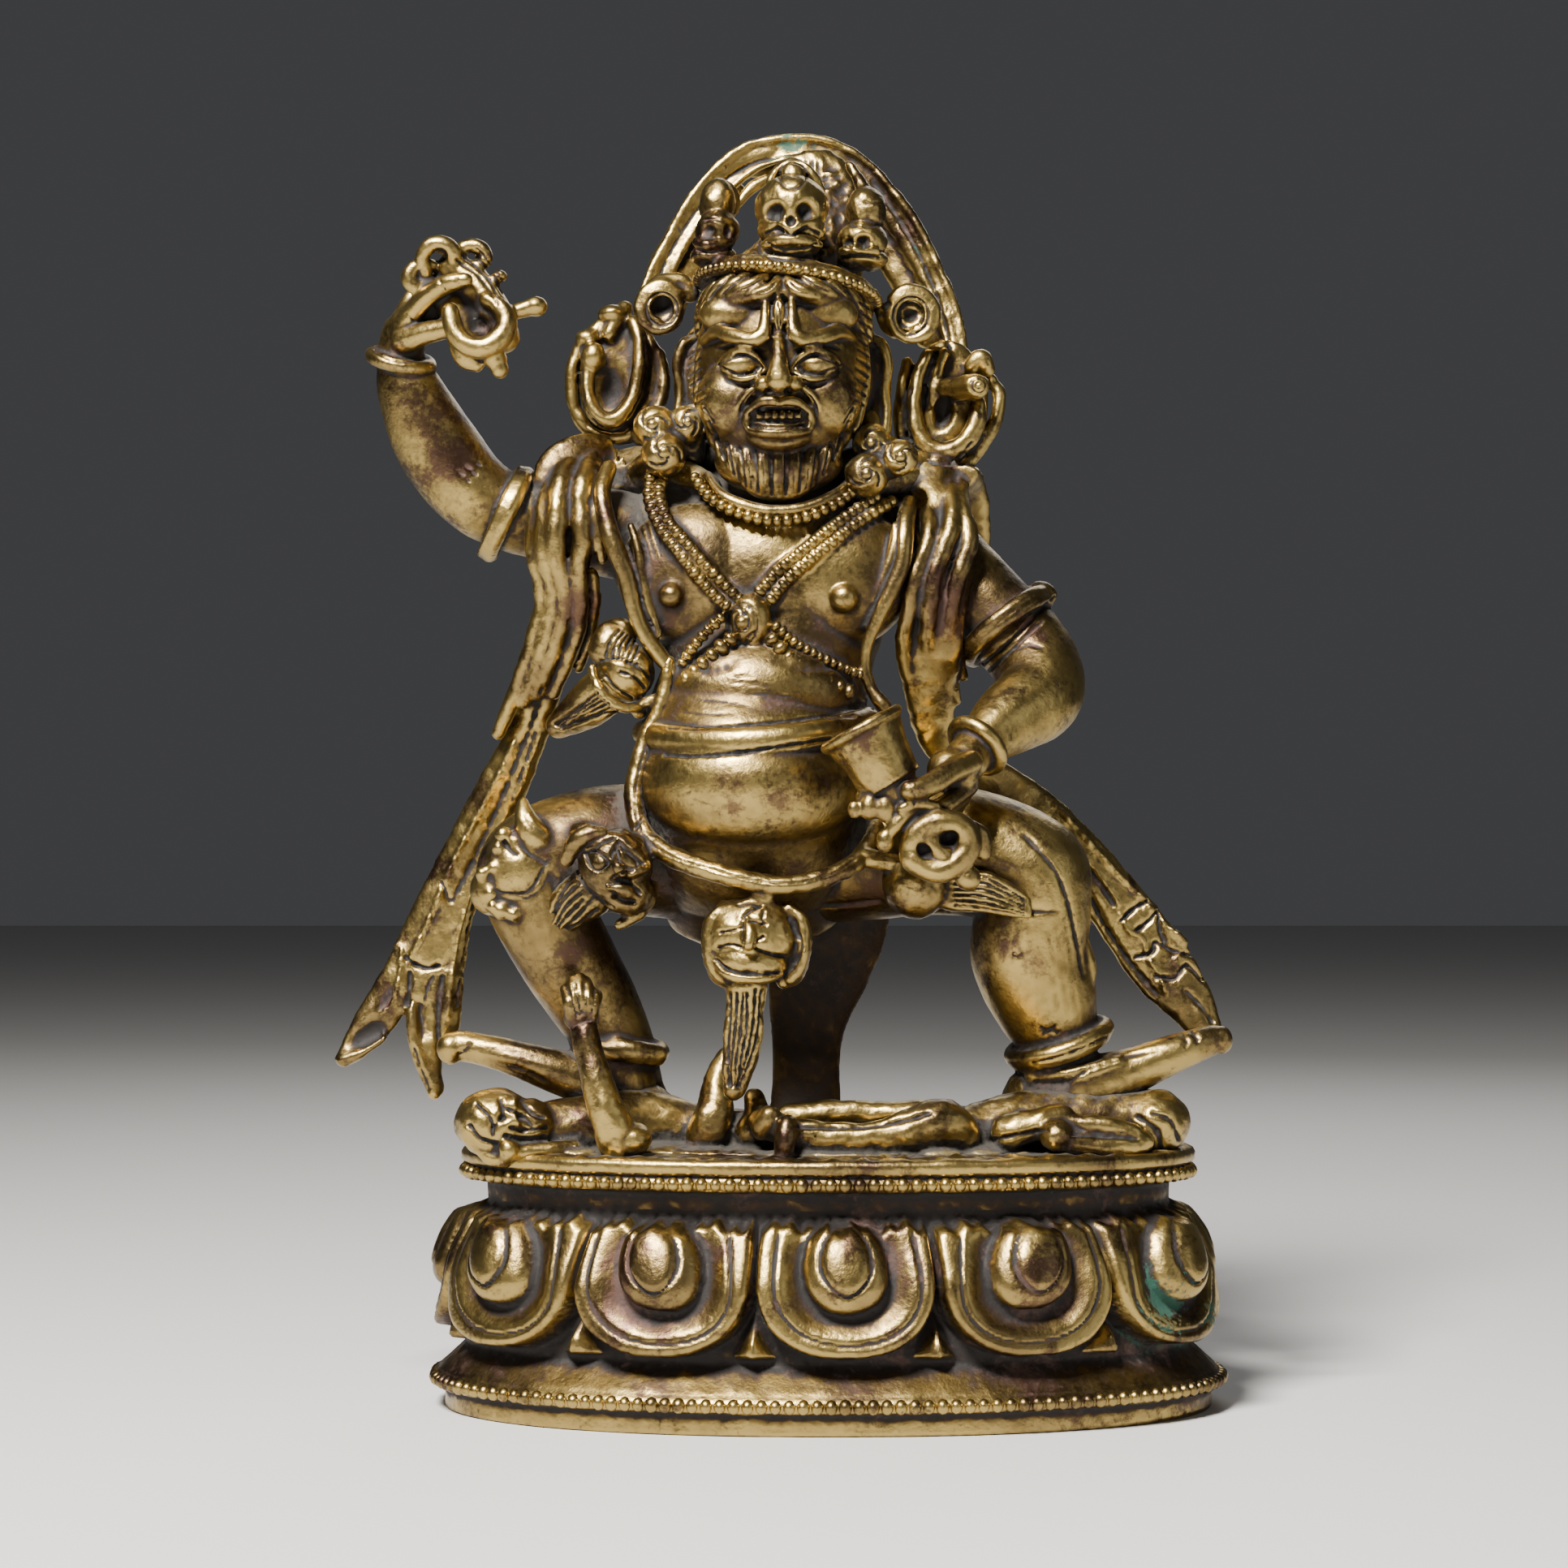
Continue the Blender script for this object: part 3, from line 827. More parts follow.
        # face marks: aside from the middle line, and height, at the face's depth
        k = 450 / 432
        return [(-6 + (m + x + 6) * k, 72 + (z - 72) * k) for x, z in points]
    for s in (-1, 1):
        skin.line(f((s * 2.0, 138.5), (s * 3.4, 139.7), (s * 5.0, 140.2), (s * 6.9, 139.6),
            (s * 8.1, 138.9)), 0.19, 0.38)
        skin.line(f((s * 2.1, 138.1), (s * 3.6, 137.8), (s * 5.2, 137.6), (s * 7.0, 138.3),
            (s * 8.1, 138.9)), 0.17, 0.3)
        skin.line(f((s * 1.9, 140.6), (s * 3.4, 141.3), (s * 5.6, 141.6), (s * 8.4, 140.9)), 0.22, 0.22,
            taper=0.2)
        skin.line(f((s * 2.6, 136.4), (s * 4.6, 136.1), (s * 7.4, 137.0)), 0.3, 0.16, taper=0.3)
        skin.line(f((s * 1.05, 142.6), (s * 1.05, 144.4), (s * 1.0, 146.4), (s * 0.5, 148.2)), 0.17, 0.35)
        skin.dent(f((s * 1.25, 135.4))[0], (0.5, 0.4), 0.5)
        skin.line(f((s * 3.0, 135.8), (s * 4.6, 134.0), (s * 5.1, 132.0)), 0.22, 0.26, taper=0.2)
        # strokes in the hair beside the cheek
        for k in range(11):
            x, z = 11.5 - 0.012 * k * k, 146.6 - k * 1.25
            skin.line(f((s * (x - 0.7), z + 0.6), (s * (x + 0.9), z - 0.5)), 0.15, 0.24)
    skin.line(f((0, 143.4), (0.32, 144.8), (0.0, 147.2), (-0.32, 145.2), (0, 143.4)), 0.12, 0.2)
    skin.line(f((-3.7, 132.3), (-2.2, 133.1), (0, 133.1), (2.2, 133.1), (3.7, 132.3)), 0.2, 0.5)
    skin.line(f((-3.6, 130.9), (-2.0, 130.7), (0, 130.6), (2.0, 130.7), (3.6, 130.9)), 0.2, 0.5)
    skin.line(f((-3.0, 131.5), (0, 131.4), (3.0, 131.5)), 0.18, 0.35)
    skin.line(f((-2.6, 128.9), (0, 128.6), (2.6, 128.9)), 0.3, 0.18, taper=0.3)
    for k in range(7):
        x = (k - 3) * 1.05
        skin.line(f((x, 132.9), (x, 131.7)), 0.11, 0.25)
    # fine lines down the locks, and the gaps between them
    for k in range(0, 4 * headPlan["locks"] - 3, 2):
        side = 2 * k / (4 * headPlan["locks"] - 4) - 1
        (x, y, z), (xt, yt, zt) = jaw(side)
        near = 450 / (450 + y)
        line = [(-6 + (a + 6) * near, 72 + (b - 72) * near) for a, b in
                ((x, z + 0.2), ((x + xt) / 2, (z + zt) / 2), (xt, zt - 0.2))]
        skin.line(line, 0.17 if k % 4 else 0.10, 0.42 if k % 4 else 0.16, near=(-30, 2))
    # two fine strokes down every tuft
    skin.lines([h((480, 360), (462, 382), (430, 392)), h((450, 356), (420, 374), (386, 388)), h((408, 354),
        (378, 374), (352, 398)), h((366, 362), (342, 384), (322, 414)), h((500, 360), (518, 380),
        (548, 391)), h((532, 354), (562, 373), (594, 388)), h((574, 358), (604, 378), (630, 402)),
        h((616, 368), (640, 394), (658, 426))], 0.12, 0.22, taper=0.2)
    # hair at the back of the head
    skin.comb([(-18, 150), (-17, 140), (-14, 131)], [(5, 150), (4, 140), (1, 131)], 16, 0.35, 0.22,
              back=True, stray=0.15)
    skin.settle()


# Crown of skulls and the upright hair

crownPlan = {"grain": 0.23, "handwork": [(0.06, 3.0, 14), (0.03, 1.1, 15)], "triangles": 95000,
    "band": {"centre": (-5.5, -6.0, 150.9), "axis": (0.13, 0.08, 1.0), "radius": 11.6}}


def makeCrown():
    wax = Wax()
    band = crownPlan["band"]
    wax.hoop(band["centre"], band["axis"], band["radius"], 0.95, 1.0, 48)
    x, y, z = band["centre"]
    wax.hoop((x, y, z + 1.0), band["axis"], band["radius"] - 0.5, 0.7, 1.0, 48)
    wax.ball((x, y + 1.0, z - 0.6), (11.4, 11.2, 4.6))
    wax.band([(-5.2, -1, 150, 10.5, 7.0), (-2.4, 1, 157, 7.4, 4.6), (-1.8, 2.6, 165, 7.2, 3.0),
              (-3.0, 3.6, 170.4, 4.4, 1.6)], sides=28)
    d = headDrawing
    # middle skull
    wax.ballOn(d, (738, 276, -14.6), (4.9, 4.6, 4.4))
    wax.ballOn(d, (738, 350, -14.8), (4.6, 4.0, 2.4))
    wax.ballOn(d, (738, 405, -14.6), (3.9, 3.7, 1.8))
    wax.ballOn(d, (738, 455, -13.6), (3.0, 3.0, 1.4))
    wax.rodOn(d, [(640, 330, -16.2, 0.6), (690, 318, -18.4, 0.7), (735, 340, -19.2, 0.7),
        (785, 316, -18.4, 0.7), (835, 330, -16.2, 0.6)])
    wax.rodOn(d, [(648, 398, -16.4, 0.6), (690, 382, -18.2, 0.7), (740, 378, -18.8, 0.8),
        (790, 384, -18.2, 0.7), (830, 400, -16.4, 0.6)])
    wax.ballOn(d, (742, 165, -13.4), (1.75, 1.7, 1.75))
    wax.ballOn(d, (740, 190, -10.4), (3.0, 2.0, 3.4))
    wax.rodOn(d, [(672, 235, -12, 0.7), (668, 190, -12, 0.7), (700, 148, -12, 0.7), (745, 130, -12, 0.7),
        (800, 160, -12, 0.8), (838, 215, -12, 0.6)])
    # skull at the left of the picture, turned outwards
    wax.ballOn(d, (478, 438, -9.4), (3.2, 3.4, 1.5))
    wax.ballOn(d, (492, 352, -9.6), (3.0, 3.2, 2.9))
    wax.ballOn(d, (492, 262, -8.6), (2.5, 2.7, 3.5), (0, 6, 0))
    wax.rodOn(d, [(425, 390, -11.5, 0.7), (465, 400, -12.6, 0.8), (530, 385, -11.6, 0.6)])
    wax.rodOn(d, [(520, 210, -7.0, 1.2), (545, 240, -6.6, 1.0), (545, 280, -6.4, 0.8)])
    # skull at the right
    wax.ballOn(d, (972, 448, -8.6), (3.5, 3.4, 1.6))
    wax.ballOn(d, (972, 386, -9.0), (3.5, 3.2, 2.6))
    wax.ballOn(d, (985, 285, -8.0), (2.8, 2.8, 3.3), (0, -5, 0))
    wax.rodOn(d, [(985, 235, -7, 1.3), (960, 185, -6, 0.9), (930, 135, -5, 0.7)])
    wax.rodOn(d, [(905, 420, -11, 0.6), (950, 412, -12.4, 0.7), (1020, 420, -11.6, 0.6)])
    skin = fuse("crown", wax, crownPlan)
    for u, v, wide, high in ((680, 287, 1.2, 1.15), (787, 284, 1.2, 1.15)):
        skin.dent(d((u, v))[0], (wide, high), 1.5)
    skin.dent(d((736, 322))[0], (0.5, 0.6), 0.6)
    skin.dent(d((460, 350))[0], (0.9, 0.9), 1.1)
    skin.dent(d((530, 352))[0], (0.5, 0.8), 0.7)
    skin.dent(d((975, 385))[0], (0.95, 0.85), 1.2)
    skin.dent(d((925, 392))[0], (0.6, 0.7), 0.8)
    skin.line(d((650, 360), (695, 345), (738, 366), (785, 342), (830, 360)), 0.2, 0.35)
    skin.line(d((655, 392), (700, 412), (745, 416), (790, 410), (825, 392)), 0.2, 0.35)
    skin.line(d((640, 430), (690, 445), (745, 448), (800, 442), (840, 425)), 0.22, 0.3)
    skin.line(d((425, 415), (470, 425), (535, 410)), 0.2, 0.35)
    skin.line(d((430, 318), (470, 312), (540, 322)), 0.2, 0.22, taper=0.2)
    skin.line(d((440, 455), (490, 462), (545, 450)), 0.2, 0.3)
    skin.line(d((905, 440), (960, 435), (1030, 440)), 0.2, 0.35)
    skin.line(d((935, 330), (985, 335), (1040, 328)), 0.2, 0.35)
    skin.line(d((975, 255), (1000, 262), (1030, 250)), 0.18, 0.2, taper=0.2)
    skin.ring(d((742, 165))[0], 1.9, 0.2, 0.3)
    # upright locks of hair
    chance = np.random.default_rng(16)
    for k in range(10):
        u = 632 + k * 22
        top = 480 - 370 * math.sqrt(max(0.05, 1 - ((u - 790) / 225) ** 2))
        skin.line(d((u, 470), (u + chance.uniform(-6, 6), (470 + top) / 2), (u - (u - 790) * 0.1, top + 10)),
                  0.25, 0.22, near=(-9, 12))
    for _ in range(70):
        u, v = chance.uniform(830, 930), chance.uniform(130, 400)
        skin.dent(d((u, v))[0], (chance.uniform(0.3, 1.1), chance.uniform(0.3, 0.9)), chance.uniform(-0.3,
            0.35), near=(-6, 14))
    # the crusted plate between the middle skull and the right one
    skin.dent(d((872, 262))[0], (3.4, 6.2), 0.12, shade=5.0, near=(-6, 14))
    skin.comb([(-13, 152), (-11, 162), (-5.5, 170)], [(5, 152), (4, 162), (-1.5, 170)], 13, 0.35, 0.3,
              back=True, stray=0.1)
    skin.settle()


# Scarf: billow behind the head, loops, tails, ear ornaments

scarfPlan = {"grain": 0.31, "handwork": [(0.07, 3.5, 17), (0.025, 1.4, 18)], "triangles": 125000}


def makeScarf():
    wax = Wax()
    # right tail, from the shoulder to its swallow ends
    wax.band([
        (-31.5, 9, 117, 6.0, 1.6), (-31.8, 5.6, 123.6, 6.4, 1.7), (-32.2, -1, 125.6, 6.6, 1.8),
        *solidPoints(whole, [
            (700, 590, -5.2, 4.9, 1.5), (694, 650, -6.4, 4.2, 1.5), (694, 695, -5.8, 3.7, 1.5),
            (693, 745, -4.0, 3.1, 1.5), (674, 828, -1.0, 2.8, 1.6), (649, 905, 1.4, 2.9, 1.6),
            (612, 985, 2.6, 3.6, 1.6), (575, 1056, 3.0, 3.6, 1.5), (549, 1120, 3.0, 4.3, 1.5),
            (528, 1184, 2.8, 5.2, 1.4), (514, 1225, 2.4, 5.9, 1.4)])
    ], sides=20)
    wax.bandOn(whole, [(496, 1205, 2.6, 3.0, 1.3), (468, 1250, 2.4, 2.9, 1.2), (438, 1290, 2.0, 2.0, 1.0),
        (422, 1306, 1.8, 1.1, 0.9)])
    wax.rodOn(whole, [(424, 1306, 1.4, 1.0), (445, 1295, 1.2, 0.9), (472, 1278, 1.2, 0.8)])
    wax.bandOn(whole, [(545, 1200, 2.6, 3.1, 1.3), (542, 1260, 2.2, 2.9, 1.2), (530, 1300, 1.6, 1.8, 1.1),
        (538, 1342, 1.2, 1.1, 0.9)])
    wax.rodOn(whole, [(508, 1240, 1.6, 0.9), (514, 1290, 1.2, 1.0), (536, 1346, 1.0, 0.9)])
    # left tail: down the chest, behind the arm, out beside the leg
    wax.band([
        (18.4, 9, 117, 4.6, 1.6), (17.8, 5.5, 123.0, 4.8, 1.7), (16.4, -1, 124.6, 4.9, 1.8),
        *solidPoints(whole, [
            (1156, 612, -5.0, 3.8, 1.4), (1166, 684, -7.4, 3.8, 1.4), (1158, 735, -7.8, 3.9, 1.4),
            (1150, 804, -6.0, 3.9, 1.5), (1146, 856, -2.8, 3.4, 1.6), (1160, 915, 1.4, 2.8, 1.5),
            (1215, 955, 3.8, 3.0, 1.5), (1275, 1000, 4.6, 3.4, 1.5), (1325, 1053, 4.8, 3.9, 1.5),
            (1365, 1102, 4.8, 4.1, 1.5), (1399, 1147, 4.6, 4.4, 1.4), (1432, 1193, 4.2, 4.4, 1.4),
            (1468, 1240, 3.4, 3.3, 1.3), (1494, 1285, 2.2, 1.7, 1.3)])
    ], sides=20)
    # folds over both shoulders, each a soft roll
    r, l = rightShoulderDrawing, leftShoulderDrawing
    for fold in (
        [(206, 128, -3.4, 1.2), (190, 220, -6.4, 1.3), (185, 310, -7.4, 1.3), (193, 400, -7.4, 1.3),
         (210, 480, -6.8, 1.2), (216, 560, -6.0, 1.25), (188, 660, -4.8, 1.2), (152, 760, -3.4, 1.1),
         (112, 870, -2.0, 1.0), (66, 980, -0.8, 0.9)],
        [(254, 108, -3.8, 1.1), (228, 200, -7.4, 1.3), (218, 300, -8.6, 1.3), (222, 400, -8.6, 1.3),
         (245, 470, -7.8, 1.1), (244, 560, -6.8, 1.1), (222, 660, -5.6, 1.1), (190, 770, -4.0, 1.0),
         (150, 880, -2.4, 0.9)],
        [(314, 72, -3.4, 1.2), (278, 130, -7.2, 1.35), (262, 220, -9.2, 1.35), (256, 300, -9.8, 1.3),
         (254, 380, -9.6, 1.2), (272, 450, -8.6, 1.1), (288, 540, -7.4, 1.1), (270, 640, -6.2, 1.1),
         (236, 740, -4.8, 1.0), (196, 850, -3.0, 0.9)],
        [(376, 74, -3.6, 1.2), (344, 150, -8.0, 1.35), (337, 240, -9.4, 1.3), (344, 330, -9.8, 1.2),
         (331, 430, -9.0, 1.1), (336, 540, -7.4, 1.1), (330, 640, -5.8, 1.0), (296, 740, -4.4, 0.9),
         (250, 850, -2.6, 0.8)],
        [(392, 110, -6.0, 0.8), (384, 220, -9.0, 0.9), (396, 320, -9.4, 0.9), (408, 400, -9.0, 0.7)],
        [(374, 450, -7.0, 0.8), (386, 520, -5.6, 0.8), (380, 600, -4.6, 0.75), (366, 680, -3.8, 0.7),
         (330, 770, -2.6, 0.6)],
    ):
        wax.rodOn(r, [(u, v, y, 1.15 * radius) for u, v, y, radius in fold], sides=14)
    for fold in (
        [(398, 170, -5.0, 1.1), (405, 260, -8.8, 1.15), (386, 340, -9.8, 1.2), (350, 430, -10.0, 1.15),
         (330, 540, -9.2, 1.1), (313, 640, -7.4, 1.1), (324, 740, -5.0, 1.1), (352, 830, -2.8, 1.1),
         (376, 930, -0.8, 1.0)],
        [(466, 90, -2.4, 1.2), (480, 160, -6.2, 1.25), (482, 220, -8.2, 1.3), (460, 300, -9.6, 1.35),
         (422, 400, -10.0, 1.35), (408, 500, -9.6, 1.3), (396, 600, -8.2, 1.2), (398, 700, -5.8, 1.1),
         (420, 800, -3.2, 1.0), (444, 900, -1.2, 0.9)],
        [(508, 96, -2.0, 1.1), (520, 190, -6.6, 1.15), (542, 280, -8.6, 1.25), (522, 360, -9.2, 1.3),
         (492, 450, -9.2, 1.25), (477, 550, -8.2, 1.15), (468, 640, -6.6, 1.1), (472, 740, -4.2, 1.0),
         (492, 840, -2.0, 0.9)],
        [(430, 300, -8.4, 0.7), (410, 360, -9.4, 0.75), (386, 440, -9.8, 0.7), (368, 540, -9.0, 0.6)],
        [(527, 470, -7.6, 0.7), (512, 560, -6.8, 0.7), (506, 640, -5.6, 0.7), (520, 760, -3.4, 0.7)],
    ):
        wax.rodOn(l, fold, sides=12)
    d = headDrawing
    # billow behind the head, with a sheet inside its edge
    wax.bandOn(d, [(330, 640, 7.4, 2.0, 1.0), (360, 520, 7.8, 2.4, 1.0), (410, 420, 8.4, 2.8, 1.0),
        (490, 300, 9.0, 2.4, 1.0), (560, 215, 9.2, 1.6, 1.0)])
    wax.bandOn(d, [(905, 165, 9.0, 2.2, 1.0), (975, 245, 9.0, 2.6, 1.0), (1050, 360, 8.8, 3.2, 1.0),
        (1110, 480, 8.2, 3.0, 1.0), (1160, 600, 7.6, 2.4, 1.0), (1195, 720, 7.0, 1.8, 1.0)])
    wax.bandOn(d, [(610, 150, 8.8, 1.0, 0.9), (720, 130, 9.0, 1.6, 0.9), (830, 140, 9.0, 1.6, 0.9),
        (910, 180, 9.0, 1.4, 0.9)])
    wax.bandOn(d, [(262, 640, 5.6, 1.9, 1.2), (290, 520, 6.2, 1.9, 1.2), (345, 400, 6.8, 1.9, 1.2),
        (450, 235, 7.6, 1.9, 1.2), (575, 120, 8, 1.9, 1.2), (710, 82, 8, 1.9, 1.2), (850, 92, 8, 1.9, 1.2),
        (960, 160, 8, 2.0, 1.2), (1045, 255, 7.6, 2.2, 1.2), (1120, 360, 7.2, 2.2, 1.2),
        (1195, 500, 6.6, 2.0, 1.2), (1252, 640, 6.0, 1.6, 1.2), (1280, 770, 5.2, 1.3, 1.2)])
    wax.rodOn(d, [(228, 620, 5.0, 0.6), (262, 510, 5.4, 0.6), (318, 395, 6.0, 0.6), (425, 212, 6.6, 0.65),
        (562, 84, 7, 0.65), (705, 44, 7, 0.65), (855, 52, 7, 0.65), (985, 122, 7, 0.65),
        (1075, 222, 6.6, 0.7), (1150, 325, 6.2, 0.7), (1228, 478, 5.6, 0.65), (1290, 635, 5.2, 0.6),
        (1310, 765, 4.8, 0.6)], steps=8)
    wax.rodOn(d, [
        (300, 620, 5.4, 0.5), (330, 520, 5.8, 0.55), (385, 400, 6.2, 0.55), (485, 262, 7, 0.55),
        (600, 160, 7, 0.6), (720, 108, 7, 0.6), (845, 112, 7, 0.6), (905, 140, 7, 0.5)], steps=8)
    wax.rodOn(d, [
        (560, 262, 3.0, 0.6), (600, 215, 3.4, 0.8), (655, 180, 3.6, 0.7)])
    # loops at the left of the picture
    wax.ballOn(d, (168, 850, 1.8), (6.4, 1.9, 9.0))
    wax.rodOn(d, [(150, 640, 1, 1.2), (60, 712, 0.6, 1.0), (18, 790, 0.4, 1.0), (12, 880, 0.4, 1.0),
        (30, 965, 0.4, 1.0), (90, 1028, 0.4, 1.05), (175, 1036, 0.4, 1.0), (250, 1000, 0.6, 1.0),
        (300, 935, 0.8, 0.9), (316, 850, 1.2, 0.9), (302, 760, 1.6, 0.8)])
    wax.rodOn(d, [(62, 810, -1.2, 1.1), (62, 890, -1.6, 1.15), (85, 955, -1.8, 1.25), (132, 983, -1.8, 1.3),
        (185, 952, -1.6, 1.25), (222, 880, -1.4, 1.2), (236, 790, -1.2, 1.15), (234, 710, -0.8, 1.1),
        (215, 655, 0, 1.0)])
    wax.ballOn(d, (82, 772, -1.6), (1.8, 1.7, 2.1))
    wax.ballOn(d, (142, 628, 0.4), (2.0, 1.8, 1.3))
    wax.ballOn(d, (62, 712, 0.2), (1.8, 1.6, 1.3))
    wax.rodOn(d, [(130, 700, -0.2, 1.0), (160, 650, 0, 1.0), (185, 610, 1, 1.2)])
    # loops at the right
    wax.ballOn(d, (1255, 925, 2.0), (5.6, 1.8, 8.8))
    wax.rodOn(d, [(1120, 790, 1.6, 0.8), (1104, 880, 1, 0.9), (1096, 980, 0.6, 0.95),
        (1118, 1075, 0.4, 1.0), (1180, 1142, 0.2, 1.1), (1275, 1152, 0.2, 1.1), (1352, 1085, 0.4, 1.05),
        (1410, 990, 0.6, 1.0), (1428, 905, 0.8, 0.95), (1400, 850, 1, 0.9)])
    wax.rodOn(d, [(1188, 765, 0, 1.0), (1155, 850, -0.6, 1.1), (1142, 950, -1, 1.2),
        (1168, 1045, -1.4, 1.3), (1238, 1084, -1.6, 1.35), (1310, 1056, -1.6, 1.35), (1352, 985, -1.4, 1.3),
        (1356, 930, -1.2, 1.2)])
    wax.rodOn(d, [(1242, 760, 0.4, 0.9), (1212, 850, 0, 0.9), (1205, 925, 0, 0.8)])
    wax.rodOn(d, [(1255, 880, -0.6, 1.6), (1300, 876, -2.4, 1.7), (1352, 868, -4.6, 1.75)], sides=18)
    wax.rodOn(d, [(1335, 800, -0.6, 1.2), (1365, 775, -0.6, 1.4), (1385, 810, -0.6, 1.2)])
    # rolled ear ornaments
    for u, v, outer, inner in ((305, 612, 2.85, 1.55), (1135, 634, 3.15, 1.9)):
        x, y, z = solidPoints(d, [(u, v, -5)])[0]
        hand = 1 if u < 700 else -1
        spiral = []
        for k in range(25):
            a = math.radians(40 + 24 * k)
            away = outer + 0.15 + (inner - outer) * max(0, k - 5) / 19
            spiral.append((x + hand * away * math.cos(a), y - 0.2 - 0.02 * k, z + 1.06 * away * math.sin(a),
                0.92 - 0.012 * k))
        wax.rod(spiral, sides=12, steps=2)
        wax.ball((x, y + 1.6, z), (3.2, 1.2, 3.4))
    wax.rodOn(d, [(262, 552, -4.8, 0.9), (300, 522, -4.4, 1.0), (370, 520, -4.2, 1.1), (400, 560, -4, 1.3)])
    wax.rodOn(d, [(1080, 690, -4.4, 0.9), (1050, 660, -4.6, 1.0), (1040, 620, -4.4, 1.2)])
    # berries at the ears
    for u, v, y, radius in ((284, 1004, -8.8, 2.9), (390, 996, -8.6, 2.6), (316, 1094, -10.0, 3.1),
            (1004, 1062, -8.4, 2.8), (986, 1164, -10.2, 3.0)):
        wax.ballOn(d, (u, v, y), (radius, radius, radius))
    wax.rodOn(d, [(1050, 1124, -8.0, 2.3), (1098, 1106, -11.0, 2.5)], sides=20)
    # stems that tie them to the shoulders and the loops
    wax.rodOn(d, [(300, 1110, -6, 2.0), (260, 1150, -3, 2.4), (220, 1200, 0, 2.6)])
    wax.rodOn(d, [(1040, 1130, -6, 2.0), (1100, 1180, -3, 2.2), (1180, 1230, 0, 2.2)])
    wax.rodOn(d, [(250, 1030, 0, 1.8), (330, 1020, -3, 1.8), (420, 960, -4, 1.6)])
    wax.rodOn(d, [(1110, 1090, 0, 1.6), (1040, 1060, -4, 1.6), (1000, 980, -4, 1.4)])
    skin = fuse("scarf", wax, scarfPlan)
    w = whole
    skin.lines([w((634, 915), (600, 985), (562, 1056), (535, 1120), (505, 1184)),
                w((664, 905), (634, 985), (600, 1056), (574, 1120), (560, 1184), (552, 1250))], 0.4, -0.4)
    skin.lines([w((668, 850), (650, 905), (618, 985), (586, 1056), (558, 1110)),
                w((660, 905), (628, 1000), (604, 1056), (586, 1110), (572, 1184), (565, 1240))], 0.45, 0.32)
    # punched border along the outer edge
    for k in range(11):
        u, v = 568 - k * 23.5, 38 + k * 42
        skin.dent(rightLegDrawing((u, v))[0], (0.5, 0.6), 0.25, turn=-25)
    r = rightLegDrawing
    skin.line(r((315, 685), (350, 712), (400, 728), (440, 716)), 0.28, 0.7)
    skin.line(r((330, 745), (328, 800), (318, 870)), 0.3, 0.6)
    skin.line(r((430, 740), (400, 800), (385, 860)), 0.25, 0.35, taper=0.2)
    skin.line(r((455, 760), (440, 880), (440, 980), (455, 1040)), 0.35, 0.6)
    skin.line(r((280, 640), (300, 660), (290, 760), (262, 860), (220, 900)), 0.3, -0.4)
    skin.dent(r((235, 850))[0], (0.9, 1.9), 0.5, turn=-20)
    skin.dent(r((170, 980))[0], (3.0, 1.5), 1.0, turn=32)
    skin.line(r((345, 1040), (370, 1110), (400, 1190)), 0.4, 0.5)
    skin.line(r((452, 395), (470, 440), (480, 470)), 0.18, 0.4)
    e = leftLegDrawing
    skin.lines([e((985, 70), (1060, 150), (1140, 240), (1200, 300), (1290, 400), (1370, 480), (1430, 570))],
        0.4, -0.5)
    skin.lines([e((975, 110), (1040, 190), (1090, 260), (1140, 330)),
                e((950, 160), (1020, 230), (1070, 300), (1110, 380), (1170, 470), (1250, 570))], 0.4, 0.5)
    skin.line(e((1005, 150), (1060, 210), (1120, 280), (1150, 330)), 0.4, -0.3)
    # zigzag of the folded end
    skin.line(e((1160, 372), (1195, 340), (1228, 322)), 0.3, 0.7)
    skin.line(e((1200, 400), (1235, 372), (1255, 350), (1262, 395), (1275, 430)), 0.3, 0.7)
    skin.line(e((1195, 470), (1240, 455), (1250, 430), (1300, 455), (1350, 462)), 0.28, 0.7)
    skin.line(e((1250, 520), (1300, 525), (1330, 490), (1368, 520), (1395, 540)), 0.28, 0.7)
    skin.line(e((1160, 360), (1180, 400), (1215, 420), (1225, 455)), 0.35, -0.45)
    skin.line(e((1235, 480), (1262, 520), (1275, 560)), 0.35, -0.5)
    skin.line(e((1290, 400), (1320, 440), (1300, 480)), 0.35, -0.4)
    skin.line(e((1330, 560), (1370, 600), (1400, 640)), 0.3, 0.4)
